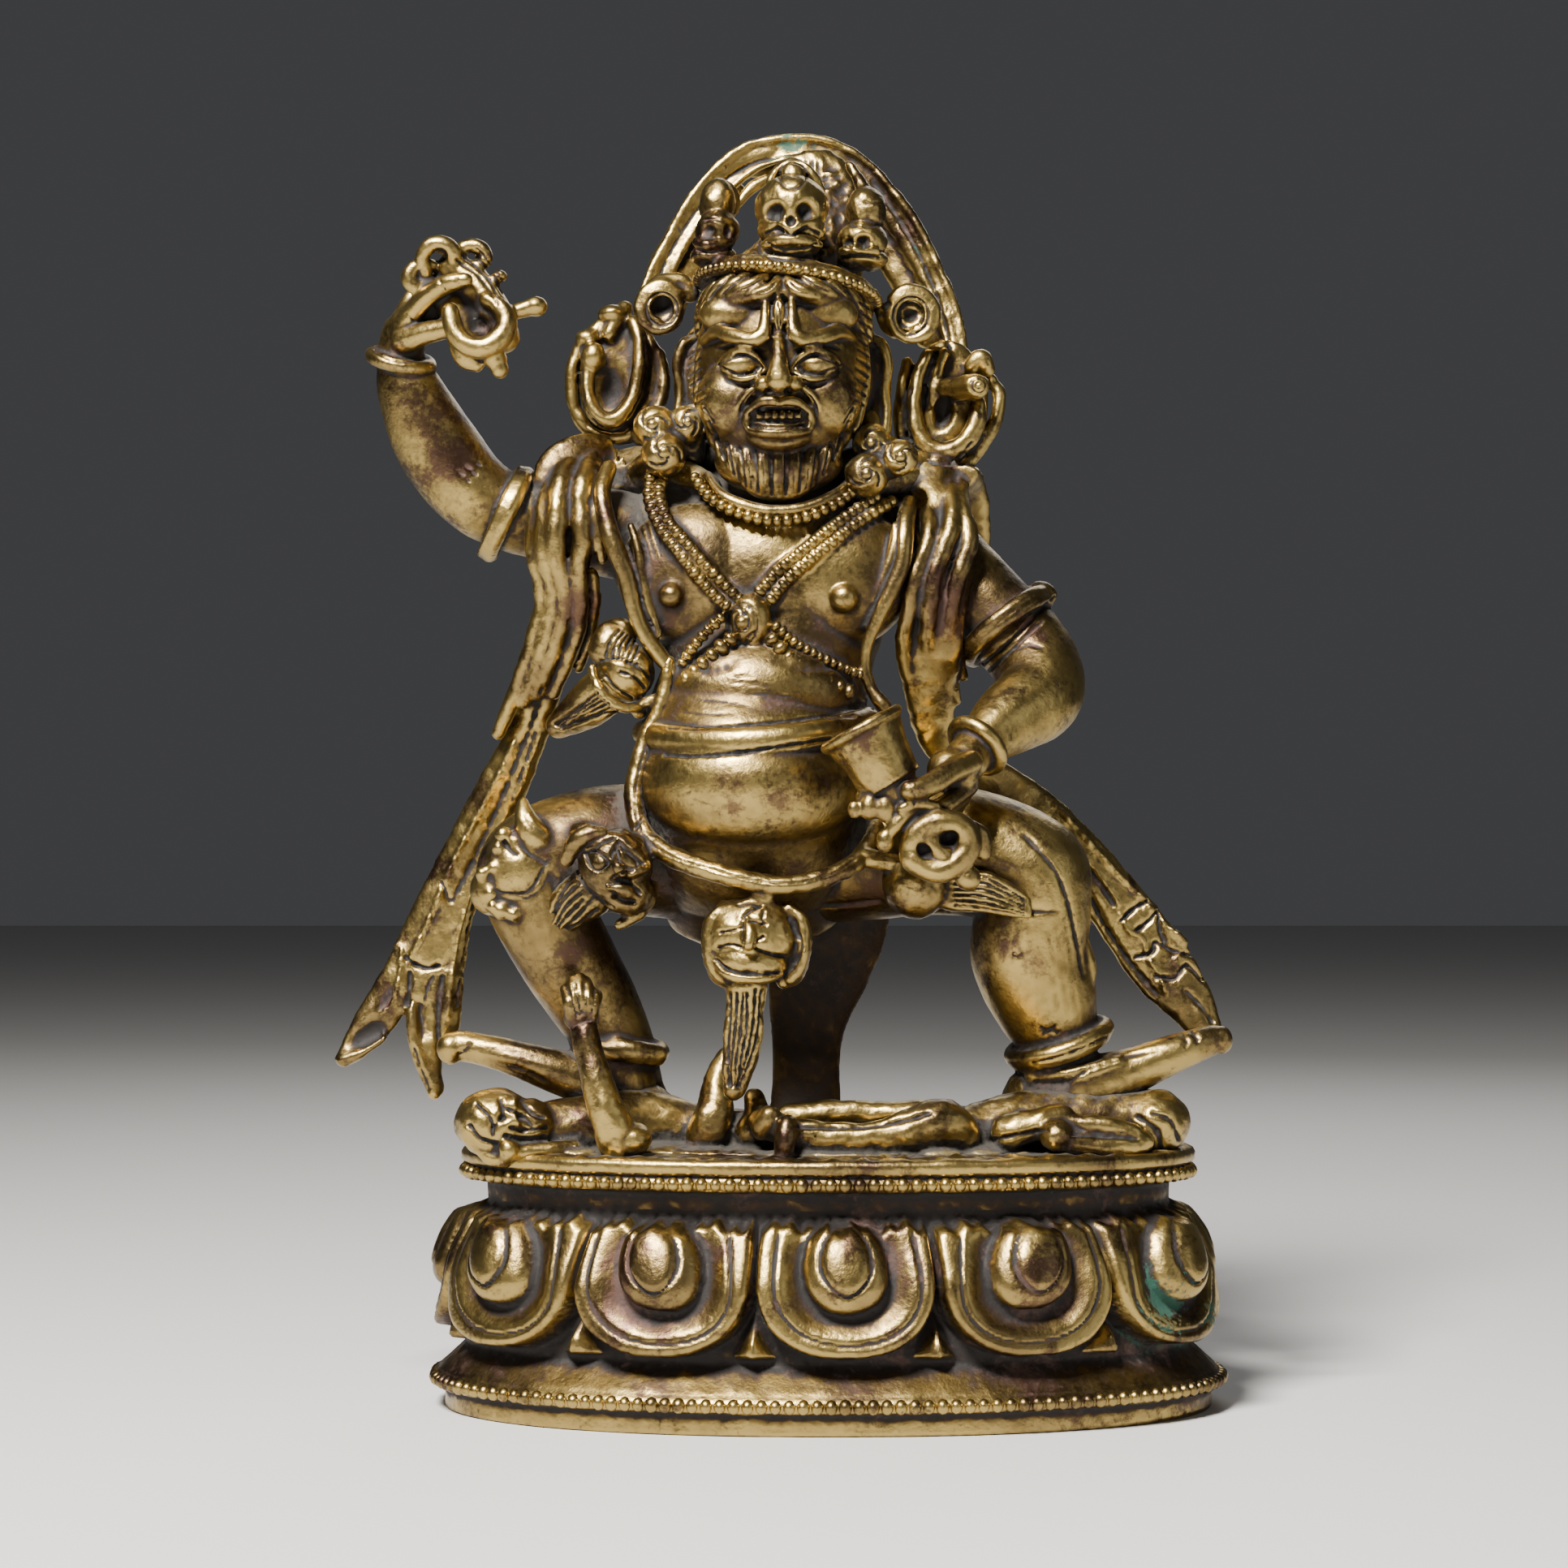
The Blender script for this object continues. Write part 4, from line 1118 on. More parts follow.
    # hollows of the loops and of the ornaments
    skin.dent(d((140, 872))[0], (1.7, 2.9), 1.0, shade=0.3)
    skin.line(d((255, 700), (262, 800), (245, 900), (200, 985)), 0.4, 0.45)
    skin.line(d((35, 800), (38, 880), (55, 950), (110, 1008), (180, 1010)), 0.3, 0.35)
    skin.dent(d((1240, 962))[0], (1.1, 1.9), 1.8, turn=-15, shade=0.5)
    skin.line(d((1128, 880), (1118, 980), (1140, 1070), (1200, 1118), (1275, 1122), (1335, 1060)), 0.3, 0.4)
    skin.line(d((1215, 760), (1185, 850), (1176, 940)), 0.3, 0.45)
    skin.ring(d((1358, 866))[0], 1.15, 0.2, 0.35)
    skin.ring(d((1358, 866))[0], 0.5, 0.14, 0.25)
    skin.ring(d((306, 612))[0], 2.05, 0.2, 0.5, squash=1.06)
    skin.ring(d((1134, 634))[0], 2.35, 0.2, 0.5, squash=1.06)
    skin.ring(d((1134, 634))[0], 1.7, 0.16, 0.3, squash=1.06)
    skin.dent(d((312, 606))[0], (1.0, 1.05), 1.0, shade=0.4)
    skin.dent(d((1132, 630))[0], (1.15, 1.2), 0.9, shade=0.4)
    for u, v, size in ((276, 994, 1.0), (394, 986, 0.9), (318, 1088, 1.15), (1000, 1056, 1.0),
            (1100, 1104, 1.0), (985, 1160, 1.1)):
        # a bud in the middle, and the petals curled round it
        skin.ring(d((u, v))[0], 0.8 * size, 0.17, 0.4)
        for k in range(3):
            a = 2.1 * k + 0.01 * u
            skin.line(d(*[(u + (24 + 11 * t) * size * math.cos(a + 0.5 * t),
                           v + (24 + 11 * t) * size * math.sin(a + 0.5 * t)) for t in range(4)]),
                0.17, 0.42, taper=0.15)
    # channels along the billow
    skin.line(d((280, 560), (335, 425), (440, 262), (560, 152), (690, 108), (840, 112), (940, 175)), 0.25,
        0.3, near=(0, 12))
    skin.line(d((1010, 190), (1085, 300), (1160, 430), (1222, 580), (1262, 740)), 0.3, 0.4, near=(0, 12))
    chance = np.random.default_rng(19)
    for _ in range(60):
        u, v = chance.uniform(230, 1300), chance.uniform(30, 760)
        skin.line(d((u, v), (u + chance.normal() * 14, v + chance.uniform(10, 40))), 0.14, 0.16, near=(3,
            12), taper=0.4)
    # the back of the scarf: quiet long folds
    skin.comb([(-36, 124), (-37, 104), (-50, 76), (-62, 54)], [(-28, 124), (-33, 104), (-43, 76), (-55, 54)],
              4, 0.6, 0.35, back=True)
    skin.comb([(14, 122), (13, 100), (28, 76), (48, 56)], [(20, 122), (18, 102), (34, 80), (54, 60)],
              4, 0.6, 0.35, back=True)
    skin.settle()


# Garland of heads on a cord

garlandPlan = {"grain": 0.25, "handwork": [(0.07, 3.0, 20), (0.03, 1.2, 21)], "triangles": 75000}


def makeGarland():
    wax = Wax()
    c = chestDrawing
    wax.rodOn(c, [(425, 575, -10.8, 0.9), (418, 640, -10.8, 1.1), (402, 700, -11, 1.2),
        (372, 765, -11.4, 1.25), (350, 830, -12, 1.3), (336, 900, -12.8, 1.35), (340, 965, -13.8, 1.4),
        (372, 1030, -15.6, 1.4), (440, 1078, -18.4, 1.4), (540, 1112, -20.6, 1.35), (640, 1138, -21.4, 1.3),
        (720, 1148, -21.4, 1.3), (820, 1130, -20.4, 1.3), (890, 1100, -18.4, 1.3), (935, 1055, -15, 1.3),
        (960, 1000, -11, 1.2)], sides=16)
    r = rightLegDrawing
    e = leftLegDrawing
    # upper head, seen sideways, its hair down to the scarf
    wax.ballOn(c, (315, 600, -9), (3.9, 3.8, 4.1))
    wax.bandOn(c, [(272, 545, -9, 3.0, 2.6), (285, 520, -9, 3.0, 2.4), (300, 500, -8.6, 2.4, 2.0)])
    wax.bandOn(c, [(270, 640, -8, 3.4, 2.8), (225, 680, -6, 3.2, 2.2), (180, 712, -4, 2.6, 1.8),
        (135, 740, -2, 1.7, 1.4)])
    wax.rodOn(c, [(340, 700, -9.5, 0.7), (365, 680, -10.5, 0.8), (390, 670, -10.5, 0.7)])
    wax.ballOn(c, (350, 705, -9.6), (1.0, 0.9, 0.8))
    wax.rodOn(c, [(228, 590, -11.4, 0.6), (250, 650, -12.2, 0.7), (300, 690, -12, 0.7),
        (350, 690, -10.8, 0.6)])
    # head by the right knee, tilted
    kh = kneeHeadDrawing
    wax.ballOn(r, (1120, 335, -17.2), (4.9, 4.6, 5.0))
    wax.ballOn(kh, (665, 590, -18.2), (3.4, 3.2, 3.0))
    wax.rodOn(kh, [(225, 350, -17.6, 1.0), (280, 240, -18.8, 1.2), (370, 165, -19.4, 1.2),
        (470, 150, -19.4, 0.9)])
    wax.rodOn(kh, [(650, 460, -21.0, 0.6), (720, 430, -21.0, 0.85), (805, 395, -19.4, 0.7)])
    wax.rodOn(kh, [(560, 350, -21.6, 0.6), (600, 400, -22.4, 0.75), (630, 435, -22.2, 0.75)])
    wax.rodOn(kh, [(545, 545, -21.4, 0.6), (620, 560, -21.6, 0.8), (690, 600, -20.8, 0.8),
        (720, 640, -20.2, 0.5)])
    wax.rodOn(kh, [(850, 540, -16.6, 0.8), (820, 650, -17.2, 0.8), (730, 760, -17.6, 0.85),
        (610, 815, -17.4, 0.8)])
    wax.bandOn(r, [(1030, 430, -15.4, 3.4, 3.0), (960, 480, -14, 3.2, 2.4), (900, 540, -12.8, 2.4, 1.9),
        (845, 605, -11.6, 1.3, 1.2)])
    # middle head, hanging, with wide ears and a long tress
    wax.rodOn(e, [(222, 280, -20.6, 1.6), (212, 320, -20.4, 1.8)])
    mh = middleHeadDrawing
    wax.ballOn(mh, (400, 440, -19.6), (4.9, 4.6, 5.4))
    wax.ballOn(mh, (370, 620, -19.8), (5.2, 4.3, 3.0))
    for u in (300, 480):
        wax.ballOn(mh, (u, 430, -19.4), (4.4, 4.2, 5.0))
    for s, u in ((-1, 92), (1, 304)):
        wax.bandOn(e, [(u - s * 22, 345, -19, 1.3, 1.5), (u - s * 4, 390, -19, 2.0, 1.7),
            (u - s * 2, 450, -19, 2.1, 1.8), (u - s * 12, 510, -19, 1.7, 1.5),
            (u - s * 34, 530, -19.4, 1.2, 1.2)])
        wax.rodOn(e, [(u - s * 20, 342, -20.6, 0.7), (u + s * 14, 372, -20.9, 0.8),
            (u + s * 18, 440, -20.9, 0.85), (u + s * 8, 500, -20.9, 0.8), (u - s * 16, 528, -20.6, 0.7)])
    wax.rodOn(mh, [(130, 610, -21.0, 0.6), (210, 700, -23.0, 0.75), (350, 735, -23.8, 0.8),
        (480, 735, -23.4, 0.8), (590, 700, -21.8, 0.6)])
    wax.rodOn(mh, [(350, 300, -23.4, 0.5), (370, 400, -24.6, 0.8), (370, 490, -25.0, 1.0)])
    wax.ballOn(mh, (400, 285, -22.6), (1.2, 1.0, 0.6))
    wax.bandOn(e, [(172, 540, -19.8, 2.9, 2.6), (168, 600, -19.4, 2.5, 2.3), (162, 680, -19, 2.6, 2.3),
        (150, 760, -18.4, 2.2, 2.0), (138, 818, -18, 1.6, 1.5)])
    # head behind the bell, its hair over the left knee
    wax.ball((11.4, -15.0, 70.4), (4.4, 4.2, 4.6))
    wax.rod([(4.6, -17.0, 74.0, 1.3), (9.0, -16.0, 73.0, 1.4)])
    for k in range(5):
        wax.rodOn(e, [(700, 268 + k * 14, -15.6, 1.2), (790, 262 + k * 17, -17.0, 1.15),
            (860, 290 + k * 13, -17.2, 1.0), (912, 322 + k * 9, -16.4, 0.6)])
    skin = fuse("garland", wax, garlandPlan)
    skin.settle()
    # cord: a seam along it, and the tie
    skin.line(c((365, 790), (345, 870), (338, 950), (362, 1020), (430, 1072), (540, 1108), (640, 1134),
        (740, 1142), (840, 1120), (905, 1080)), 0.15, 0.16)
    skin.line(c((356, 978), (340, 1000)), 0.2, 0.3)
    # upper head: hairband, eye, brow, mouth
    skin.comb(c((262, 560), (275, 520), (300, 492)), c((330, 575), (345, 545), (352, 525)), 6, 0.2, 0.35)
    skin.line(c((252, 572), (290, 562), (345, 578)), 0.2, 0.35)
    skin.line(c((318, 575), (352, 590), (376, 615)), 0.22, 0.45)
    skin.line(c((300, 600), (335, 612), (362, 640)), 0.22, 0.45)
    skin.line(c((262, 610), (285, 640), (330, 668)), 0.2, 0.4)
    skin.line(c((380, 590), (384, 620), (376, 650)), 0.2, 0.35)
    skin.comb(c((240, 655), (190, 690), (130, 735)), c((290, 700), (230, 722), (150, 748)), 6, 0.2, 0.4,
        stray=0.1)
    # head by the knee: almond eyes, nose, open mouth, hair
    skin.line(kh((355, 300), (430, 288), (525, 362), (460, 428), (395, 395), (355, 300)), 0.2, 0.55, steps=3)
    skin.line(kh((585, 262), (640, 268), (745, 372), (672, 405), (610, 345), (585, 262)), 0.2, 0.55, steps=3)
    skin.lines([kh((605, 212), (565, 285), (548, 345)), kh((605, 212), (690, 290), (785, 378)),
        kh((545, 485), (630, 448), (700, 425)), kh((300, 400), (340, 520), (440, 620), (560, 700)),
        kh((410, 280), (480, 225), (570, 190))], 0.2, 0.5)
    skin.line(kh((530, 520), (600, 500), (700, 520), (760, 590)), 0.28, 0.6)
    skin.line(kh((560, 600), (630, 650), (720, 660)), 0.3, 0.6)
    skin.comb(r((950, 380), (900, 440), (870, 520), (850, 600)), r((1060, 500), (1000, 540), (930, 590),
        (870, 620)), 6, 0.26, 0.4, stray=0.3)
    # middle head: creased brow, slit eyes, nose, wide mouth, combed tress
    skin.lines([mh((325, 285), (390, 240), (450, 215)), mh((295, 205), (370, 195), (440, 212)),
        mh((330, 305), (400, 325), (470, 345)), mh((318, 330), (322, 430), (318, 525)), mh((480, 255),
        (470, 300), (492, 345)), mh((165, 405), (240, 390), (312, 365)), mh((150, 515), (230, 492),
        (312, 512))], 0.2, 0.5)
    skin.line(mh((475, 435), (425, 470), (420, 525), (480, 552), (560, 572), (640, 582)), 0.22, 0.6)
    skin.line(mh((128, 600), (200, 660), (300, 692), (420, 700), (590, 692)), 0.24, 0.65)
    skin.line(mh((660, 300), (720, 420), (750, 500), (700, 620)), 0.3, 0.4)
    skin.comb(e((125, 570), (122, 660), (116, 740), (122, 810)), e((215, 560), (205, 660), (184, 740),
        (156, 812)), 6, 0.24, 0.5, stray=0.12)
    chance = np.random.default_rng(43)
    for _ in range(18):
        u, v = chance.uniform(125, 200), chance.uniform(570, 780)
        skin.line(e((u, v), (u + chance.uniform(8, 20), v + chance.uniform(-8, 8))), 0.16, 0.14)
    # tresses over the knee
    for k in range(6):
        skin.line(e((720, 262 + k * 14), (800, 258 + k * 17), (905, 318 + k * 9)), 0.2, 0.3)
    skin.settle()


# The fallen beings under the feet

fallenPlan = {"grain": 0.32, "handwork": [(0.08, 3.6, 23), (0.03, 1.3, 24)], "triangles": 85000}


def makeFallen():
    wax = Wax()
    r = rightLegDrawing
    e = leftLegDrawing
    # the one at the left of the picture: head, body, hand, raised arm
    wax.ballOn(r, (660, 1320, -13), (5.4, 4.8, 4.6))
    wax.ballOn(r, (790, 1330, -12.4), (3.6, 4.0, 3.6))
    wax.rod([(-40.6, -11.0, 37.6, 3.6), (-33.0, -9, 37.8, 4.3), (-25.0, -6, 38.4, 4.4),
             (-17.0, -6, 37.2, 3.4), (-9.0, -5, 36.8, 3.2)], sides=18)
    wax.ballOn(r, (712, 1425, -17), (1.4, 1.5, 1.6))
    wax.rodOn(r, [(720, 1440, -16.6, 1.1), (790, 1430, -16.4, 1.0), (870, 1425, -15.4, 1.1),
        (960, 1420, -14, 1.3)])
    wax.rodOn(r, [(600, 1400, -14, 1.2), (640, 1450, -15.4, 1.1), (700, 1462, -15.6, 1.0)])
    wax.ball((-24.5, -4.0, 39.4), (4.2, 4.6, 4.0))
    wax.rodOn(r, [(1130, 1400, -18.5, 2.6), (1110, 1330, -19.0, 2.7), (1075, 1240, -19.2, 2.35),
        (1045, 1140, -18.6, 2.15), (1012, 1020, -17.8, 1.85), (998, 950, -17.4, 1.75)], sides=16)
    wax.ballOn(r, (1180, 1385, -18.4), (2.9, 2.8, 2.3))
    wax.ballOn(r, (990, 912, -16.6), (2.4, 1.7, 2.0))
    for tip, middle, root in (((932, 812), (942, 860), (966, 915)), ((954, 778), (964, 840), (982, 910)),
            ((984, 768), (988, 835), (998, 908)), ((1014, 780), (1012, 840), (1012, 908)),
            ((1046, 826), (1040, 865), (1026, 915))):
        wax.rodOn(r, [(*root, -17.4, 1.0), (*middle, -18.0, 0.95), (*tip, -16.2, 0.8)], sides=12)
    # arm behind the tress
    wax.rodOn(e, [(60, 945, -12, 2.6), (80, 900, -12, 2.8), (92, 850, -11, 2.4), (98, 790, -10, 1.9),
        (118, 735, -9.4, 1.5)], sides=16)
    wax.rodOn(e, [(175, 930, -13, 1.9), (200, 880, -12, 1.8), (190, 840, -11, 1.4)], sides=12)
    wax.rod([(-16.0, -9, 36.4, 3.2), (-9.6, -10, 37.0, 3.0), (-5.0, -11, 36.8, 2.8)], sides=16)
    # the middle one: trunk, two legs and an upright foot over the rim
    wax.rodOn(e, [(215, 905, -16, 2.0), (290, 930, -17.2, 2.0), (400, 945, -17.4, 2.1),
        (520, 945, -17.2, 2.3), (620, 920, -16.6, 3.0), (690, 905, -15.6, 3.2), (735, 930, -14.6, 2.6)],
        sides=18)
    wax.rodOn(e, [(280, 890, -12, 1.8), (400, 880, -12, 1.8), (520, 884, -12, 1.8), (640, 880, -12.6, 1.8)])
    wax.rodOn(e, [(215, 915, -17, 1.8), (232, 890, -17.6, 1.6)])
    wax.rodOn(e, [(280, 915, -19.6, 1.55), (274, 950, -20.4, 1.55), (270, 985, -20.2, 1.35),
        (264, 1008, -20.2, 1.0)])
    wax.rod([(-4.0, -9, 36.6, 3.0), (4.0, -9, 37.2, 3.2), (12.0, -9, 37.6, 3.4), (20.0, -9, 37.2, 3.4)],
        sides=16)
    # the one at the right: body, head at the end, folded arm
    wax.rod([(17.0, -11, 37.0, 3.2), (24.0, -9, 38.2, 4.2), (33.0, -7.4, 38.6, 4.6), (42.0, -7, 38.6, 4.2)],
        sides=18)
    wax.ball((43.6, -8.0, 38.6), (4.9, 4.8, 4.4))
    wax.ballOn(e, (985, 938, -16.6), (2.3, 2.2, 2.1))
    wax.rodOn(e, [(990, 950, -16.2, 1.7), (1080, 966, -16, 1.5), (1160, 966, -15.4, 1.6),
        (1215, 955, -14, 1.6)])
    wax.rodOn(e, [(860, 930, -14.4, 2.3), (930, 910, -14.4, 2.2), (1000, 890, -14.0, 1.8)])
    wax.rodOn(e, [(1020, 905, -14.6, 1.3), (1110, 912, -15, 1.3), (1190, 930, -14.6, 1.2)])
    # crust of casting core between them
    chance = np.random.default_rng(22)
    for _ in range(46):
        x, y = chance.uniform(-40, 42), chance.uniform(-17, 8)
        if (x / 47) ** 2 + (y / 24) ** 2 < 1:
            wide = chance.uniform(1.6, 3.6)
            wax.ball((x, y, 34.9), (wide, wide * 0.8, chance.uniform(0.5, 1.5)))
    wax.band([(-42, -8, 35.0, 1.0, 1.0), (0, -8, 35.0, 12, 0.7), (42, -8, 35.0, 1.0, 1.0)], facing=(0, 0, 1))
    wax.band([(-40, 2, 35.0, 4, 0.7), (0, 2, 35.0, 12, 0.7), (40, 2, 35.0, 4, 0.7)], facing=(0, 0, 1))
    skin = fuse("fallen_beings", wax, fallenPlan)
    skin.settle()
    # wrinkled face at the left
    skin.lines([r((590, 1250), (640, 1300), (650, 1370)), r((680, 1230), (690, 1290), (650, 1340)),
                r((700, 1260), (760, 1290), (800, 1330)), r((760, 1230), (800, 1280), (850, 1300)),
                r((720, 1340), (780, 1350), (860, 1340)), r((700, 1370), (780, 1385), (850, 1375)),
                r((560, 1330), (600, 1380), (660, 1400))], 0.28, 0.55)
    skin.dent(r((690, 1300))[0], (0.7, 0.6), 0.6)
    skin.dent(r((760, 1300))[0], (0.6, 0.5), 0.5)
    skin.line(r((730, 1240), (735, 1300), (745, 1330)), 0.35, -0.45)
    # wrist and knuckles of the gripping hand
    skin.line(r((950, 955), (985, 940), (1030, 925)), 0.18, 0.3)
    skin.lines([r((972, 905), (952, 850), (930, 800)), r((990, 902), (978, 850), (962, 790)), r((1006, 900),
        (1006, 850), (1002, 790)), r((1024, 902), (1040, 860), (1042, 810))], 0.15, 0.3)
    skin.line(e((300, 915), (420, 918), (560, 905), (650, 880)), 0.3, 0.45)
    skin.line(e((820, 950), (900, 935), (960, 925)), 0.3, 0.4)
    skin.line(e((1030, 935), (1110, 940), (1200, 945)), 0.25, 0.4)
    skin.lines([e((1240, 880), (1290, 900), (1310, 950)), e((1200, 890), (1250, 925), (1262, 975))], 0.28,
        0.45)
    skin.settle()


# Lotus pedestal. The heights and insets are those of the cast solid.

pedestalPlan = {
    "halfWidth": 54.0, "halfDepth": 31.0, "height": 35.0, "roundness": 2.2,
    "columns": 744, "rowPitch": 0.40,
    "petals": 11, "petalGap": 0.3, "shift": 2.0, "low": 9.8, "high": 27.9, "outline": 2.25,
    "thickness": 4.6, "thinning": 0.5, "dish": 1.35,
    "bud": {"halfWidth": 5.8, "halfHeight": 5.5, "middle": 0.62, "swell": 3.1},
    "seed": 31, "triangles": 95000,
    "profile": [(0.0, 2.3), (0.25, 2.0), (2.7, 2.0), (2.9, 1.9), (3.0, 1.2), (3.4, 0.55), (4.0, 0.35),
                (4.6, 0.55), (5.0, 1.0), (5.2, 1.2), (5.4, 1.35), (8.7, 4.8), (10.2, 4.8), (27.8, 7.6),
                (28.2, 7.6), (30.4, 7.5), (30.6, 6.4), (30.9, 4.9), (31.7, 4.4), (32.5, 4.8), (32.8, 5.0),
                (33.0, 4.5), (33.3, 4.2), (34.2, 4.15), (34.7, 4.4), (34.95, 5.0), (35.0, 5.8)],
    "topRings": (0.975, 0.95, 0.92, 0.885, 0.85, 0.81, 0.77, 0.72, 0.66, 0.59, 0.5, 0.38, 0.2),
    "underRings": (0.2, 0.6, 0.93),
    "petalMiddle": 0.56, "petalRise": 2.6, "borderWidth": 0.11, "lineAt": 0.20, "lineWidth": 0.024,
    "lineDepth": 0.34, "darts": {"height": 6.4, "halfWidth": 3.3, "stand": 2.9},
    "handwork": [(0.07, 7.0, 32), (0.018, 1.8, 33)], "topRoughness": (0.16, 2.4, 34),
}


def planPoint(turn, halfWidth, halfDepth, roundness):
    power = 2.0 / roundness
    across, along = np.sin(turn), -np.cos(turn)
    return (halfWidth * np.sign(across) * np.abs(across) ** power,
            halfDepth * np.sign(along) * np.abs(along) ** power)


def evenTurns(plan, lengths=None):
    # turns at even lengths round the oval, and the whole length
    fine = np.linspace(0, 2 * math.pi, 5761)
    x, y = planPoint(fine, plan["halfWidth"], plan["halfDepth"], plan["roundness"])
    marks = np.concatenate([[0], np.cumsum(np.hypot(np.diff(x), np.diff(y)))])
    if lengths is None:
        lengths = np.arange(plan["columns"]) / plan["columns"] * marks[-1]
    return np.interp(np.mod(lengths, marks[-1]), marks, fine), lengths, marks[-1]


def rise(low, high, value):
    share = np.clip((value - low) / (high - low), 0, 1)
    return share * share * (3 - 2 * share)


def petalStand(plan, lengths, around, height):
    # how far the petals stand out of the wall, and how deep their cut lines are
    low, high = plan["low"], plan["high"]
    count = plan["petals"]
    pitch = around / count
    chance = np.random.default_rng(plan["seed"])
    share = (height - low) / (high - low)
    half = (pitch - plan["petalGap"]) / 2
    middle = low + plan["petalMiddle"] * (high - low)
    up = plan["petalRise"] * (high - middle) if height > middle else middle - low
    offset = np.mod(lengths - plan["shift"] + pitch / 2, pitch) - pitch / 2
    which = np.round((lengths - plan["shift"]) / pitch).astype(int) % count
    wander = chance.uniform(-1, 1, (count, 6))
    position = np.where(which > count / 2, which - count, which)
    # the petals beside the front one lean outwards at the foot
    outward = -0.17 * np.sign(position) * np.minimum(np.abs(position), 2) ** 0.7
    lean = np.where(np.abs(position) <= 3, outward, 0.0)
    lean = lean + 0.03 * wander[which, 0]
    aside = offset + lean * (middle - height) * -1.0
    bulge = plan["outline"]
    tall = abs(height - middle) / up
    body = 1 - (np.abs(offset / half) ** bulge + tall ** bulge) ** (1 / bulge)
    across = (0.35 * offset + 0.65 * aside + 0.25 * wander[which, 1]) / half
    inside = 1 - (np.abs(across) ** bulge + tall ** bulge) ** (1 / bulge)
    thick = plan["thickness"] * (1 - plan["thinning"] * rise(0.45, 1.0, share))
    stand = np.zeros(len(lengths))
    cut = np.zeros(len(lengths))
    if low <= height <= high:
        # a rounded border, a cut line, then the dished field
        border = np.sqrt(np.clip(1 - (1 - np.clip(body / plan["borderWidth"], 0, 1)) ** 2.4, 0, 1))
        stand = thick * (0.55 * rise(-0.01, 0.025, body) + 0.45 * border)
        ragged = 0.022 * np.sin(lengths * 0.9 + 2 * wander[which, 5]) + 0.014 * np.sin(lengths * 2.3 + 1.0)
        stand = stand * rise(0, 0.09, (high - height) / (high - low) - 0.036 + ragged)
        fromLine = (inside - plan["lineAt"] - 0.015 * wander[which, 4]) / plan["lineWidth"]
        line = np.exp(-fromLine ** 2) * (body > 0.10)
        line = line * rise(0.03, 0.16, 1 - share)
        cut += 0.9 * line
        stand -= plan["lineDepth"] * line
        stand -= plan["dish"] * rise(0.22, 0.50, inside) * (1 - 0.85 * rise(0.55, 1.0, share))
        bud = plan["bud"]
        centre = low + (bud["middle"] + 0.015 * wander[which, 2]) * (high - low)
        u = (aside + 0.3 * wander[which, 3]) / bud["halfWidth"]
        v = (height - centre) / bud["halfHeight"]
        outer = (np.abs(u) ** 2.2 + np.abs(v * np.where(v > 0, 0.9, 1.0)) ** 2.2) ** (1 / 2.2)
        swell = np.clip(1 - outer ** 2.4, 0, 1) ** 0.42
        lift = np.where(outer < 1, bud["swell"] * swell + 0.3, 0)
        # the drop in the bud
        vi = (height - (centre + 1.1)) / (bud["halfHeight"] * 0.74)
        narrow = 0.58 - 0.16 * np.clip(-vi, 0, 1) ** 2
        drop = np.hypot(u / narrow, vi * np.where(vi > 0, 0.9, 1.0))
        ring = np.exp(-((drop - 1) / 0.075) ** 2) * (outer < 1)
        lift = lift - 0.5 * ring + 0.6 * (drop < 1) * np.sqrt(np.clip(1 - drop ** 2, 0, 1))
        cut += ring * 0.9 + 0.9 * np.exp(-((outer - 1.05) / 0.05) ** 2) * (inside > 0.2)
        # the field is rubbed bare again
        cut -= 0.75 * rise(0.22, 0.30, inside) * rise(1.08, 1.20, outer) * rise(0, 0.1, 1 - share)
        stand = stand + lift * rise(0.0, 0.06, 1 - share)
    # small three-sided bosses between the petals' feet
    between = np.mod(lengths - plan["shift"], pitch) - pitch / 2
    darts = plan["darts"]
    dart = 1 - (height - (low - 0.3)) / darts["height"]
    if 0 < dart <= 1:
        ridge = np.clip(1 - np.abs(between) / (darts["halfWidth"] * dart + 0.01), 0, 1)
        tallest = darts["stand"] * min(1.0, 1.5 * dart)
        stand = np.maximum(stand, tallest * ridge ** 0.8 * min(1.0, (1.06 - dart) * 8))
    # the seam between two petals that touch
    cut += 0.8 * np.exp(-((np.abs(offset) - pitch / 2) / 0.35) ** 2) * (low + 2 < height < high)
    return stand, np.clip(cut, -0.8, 1)


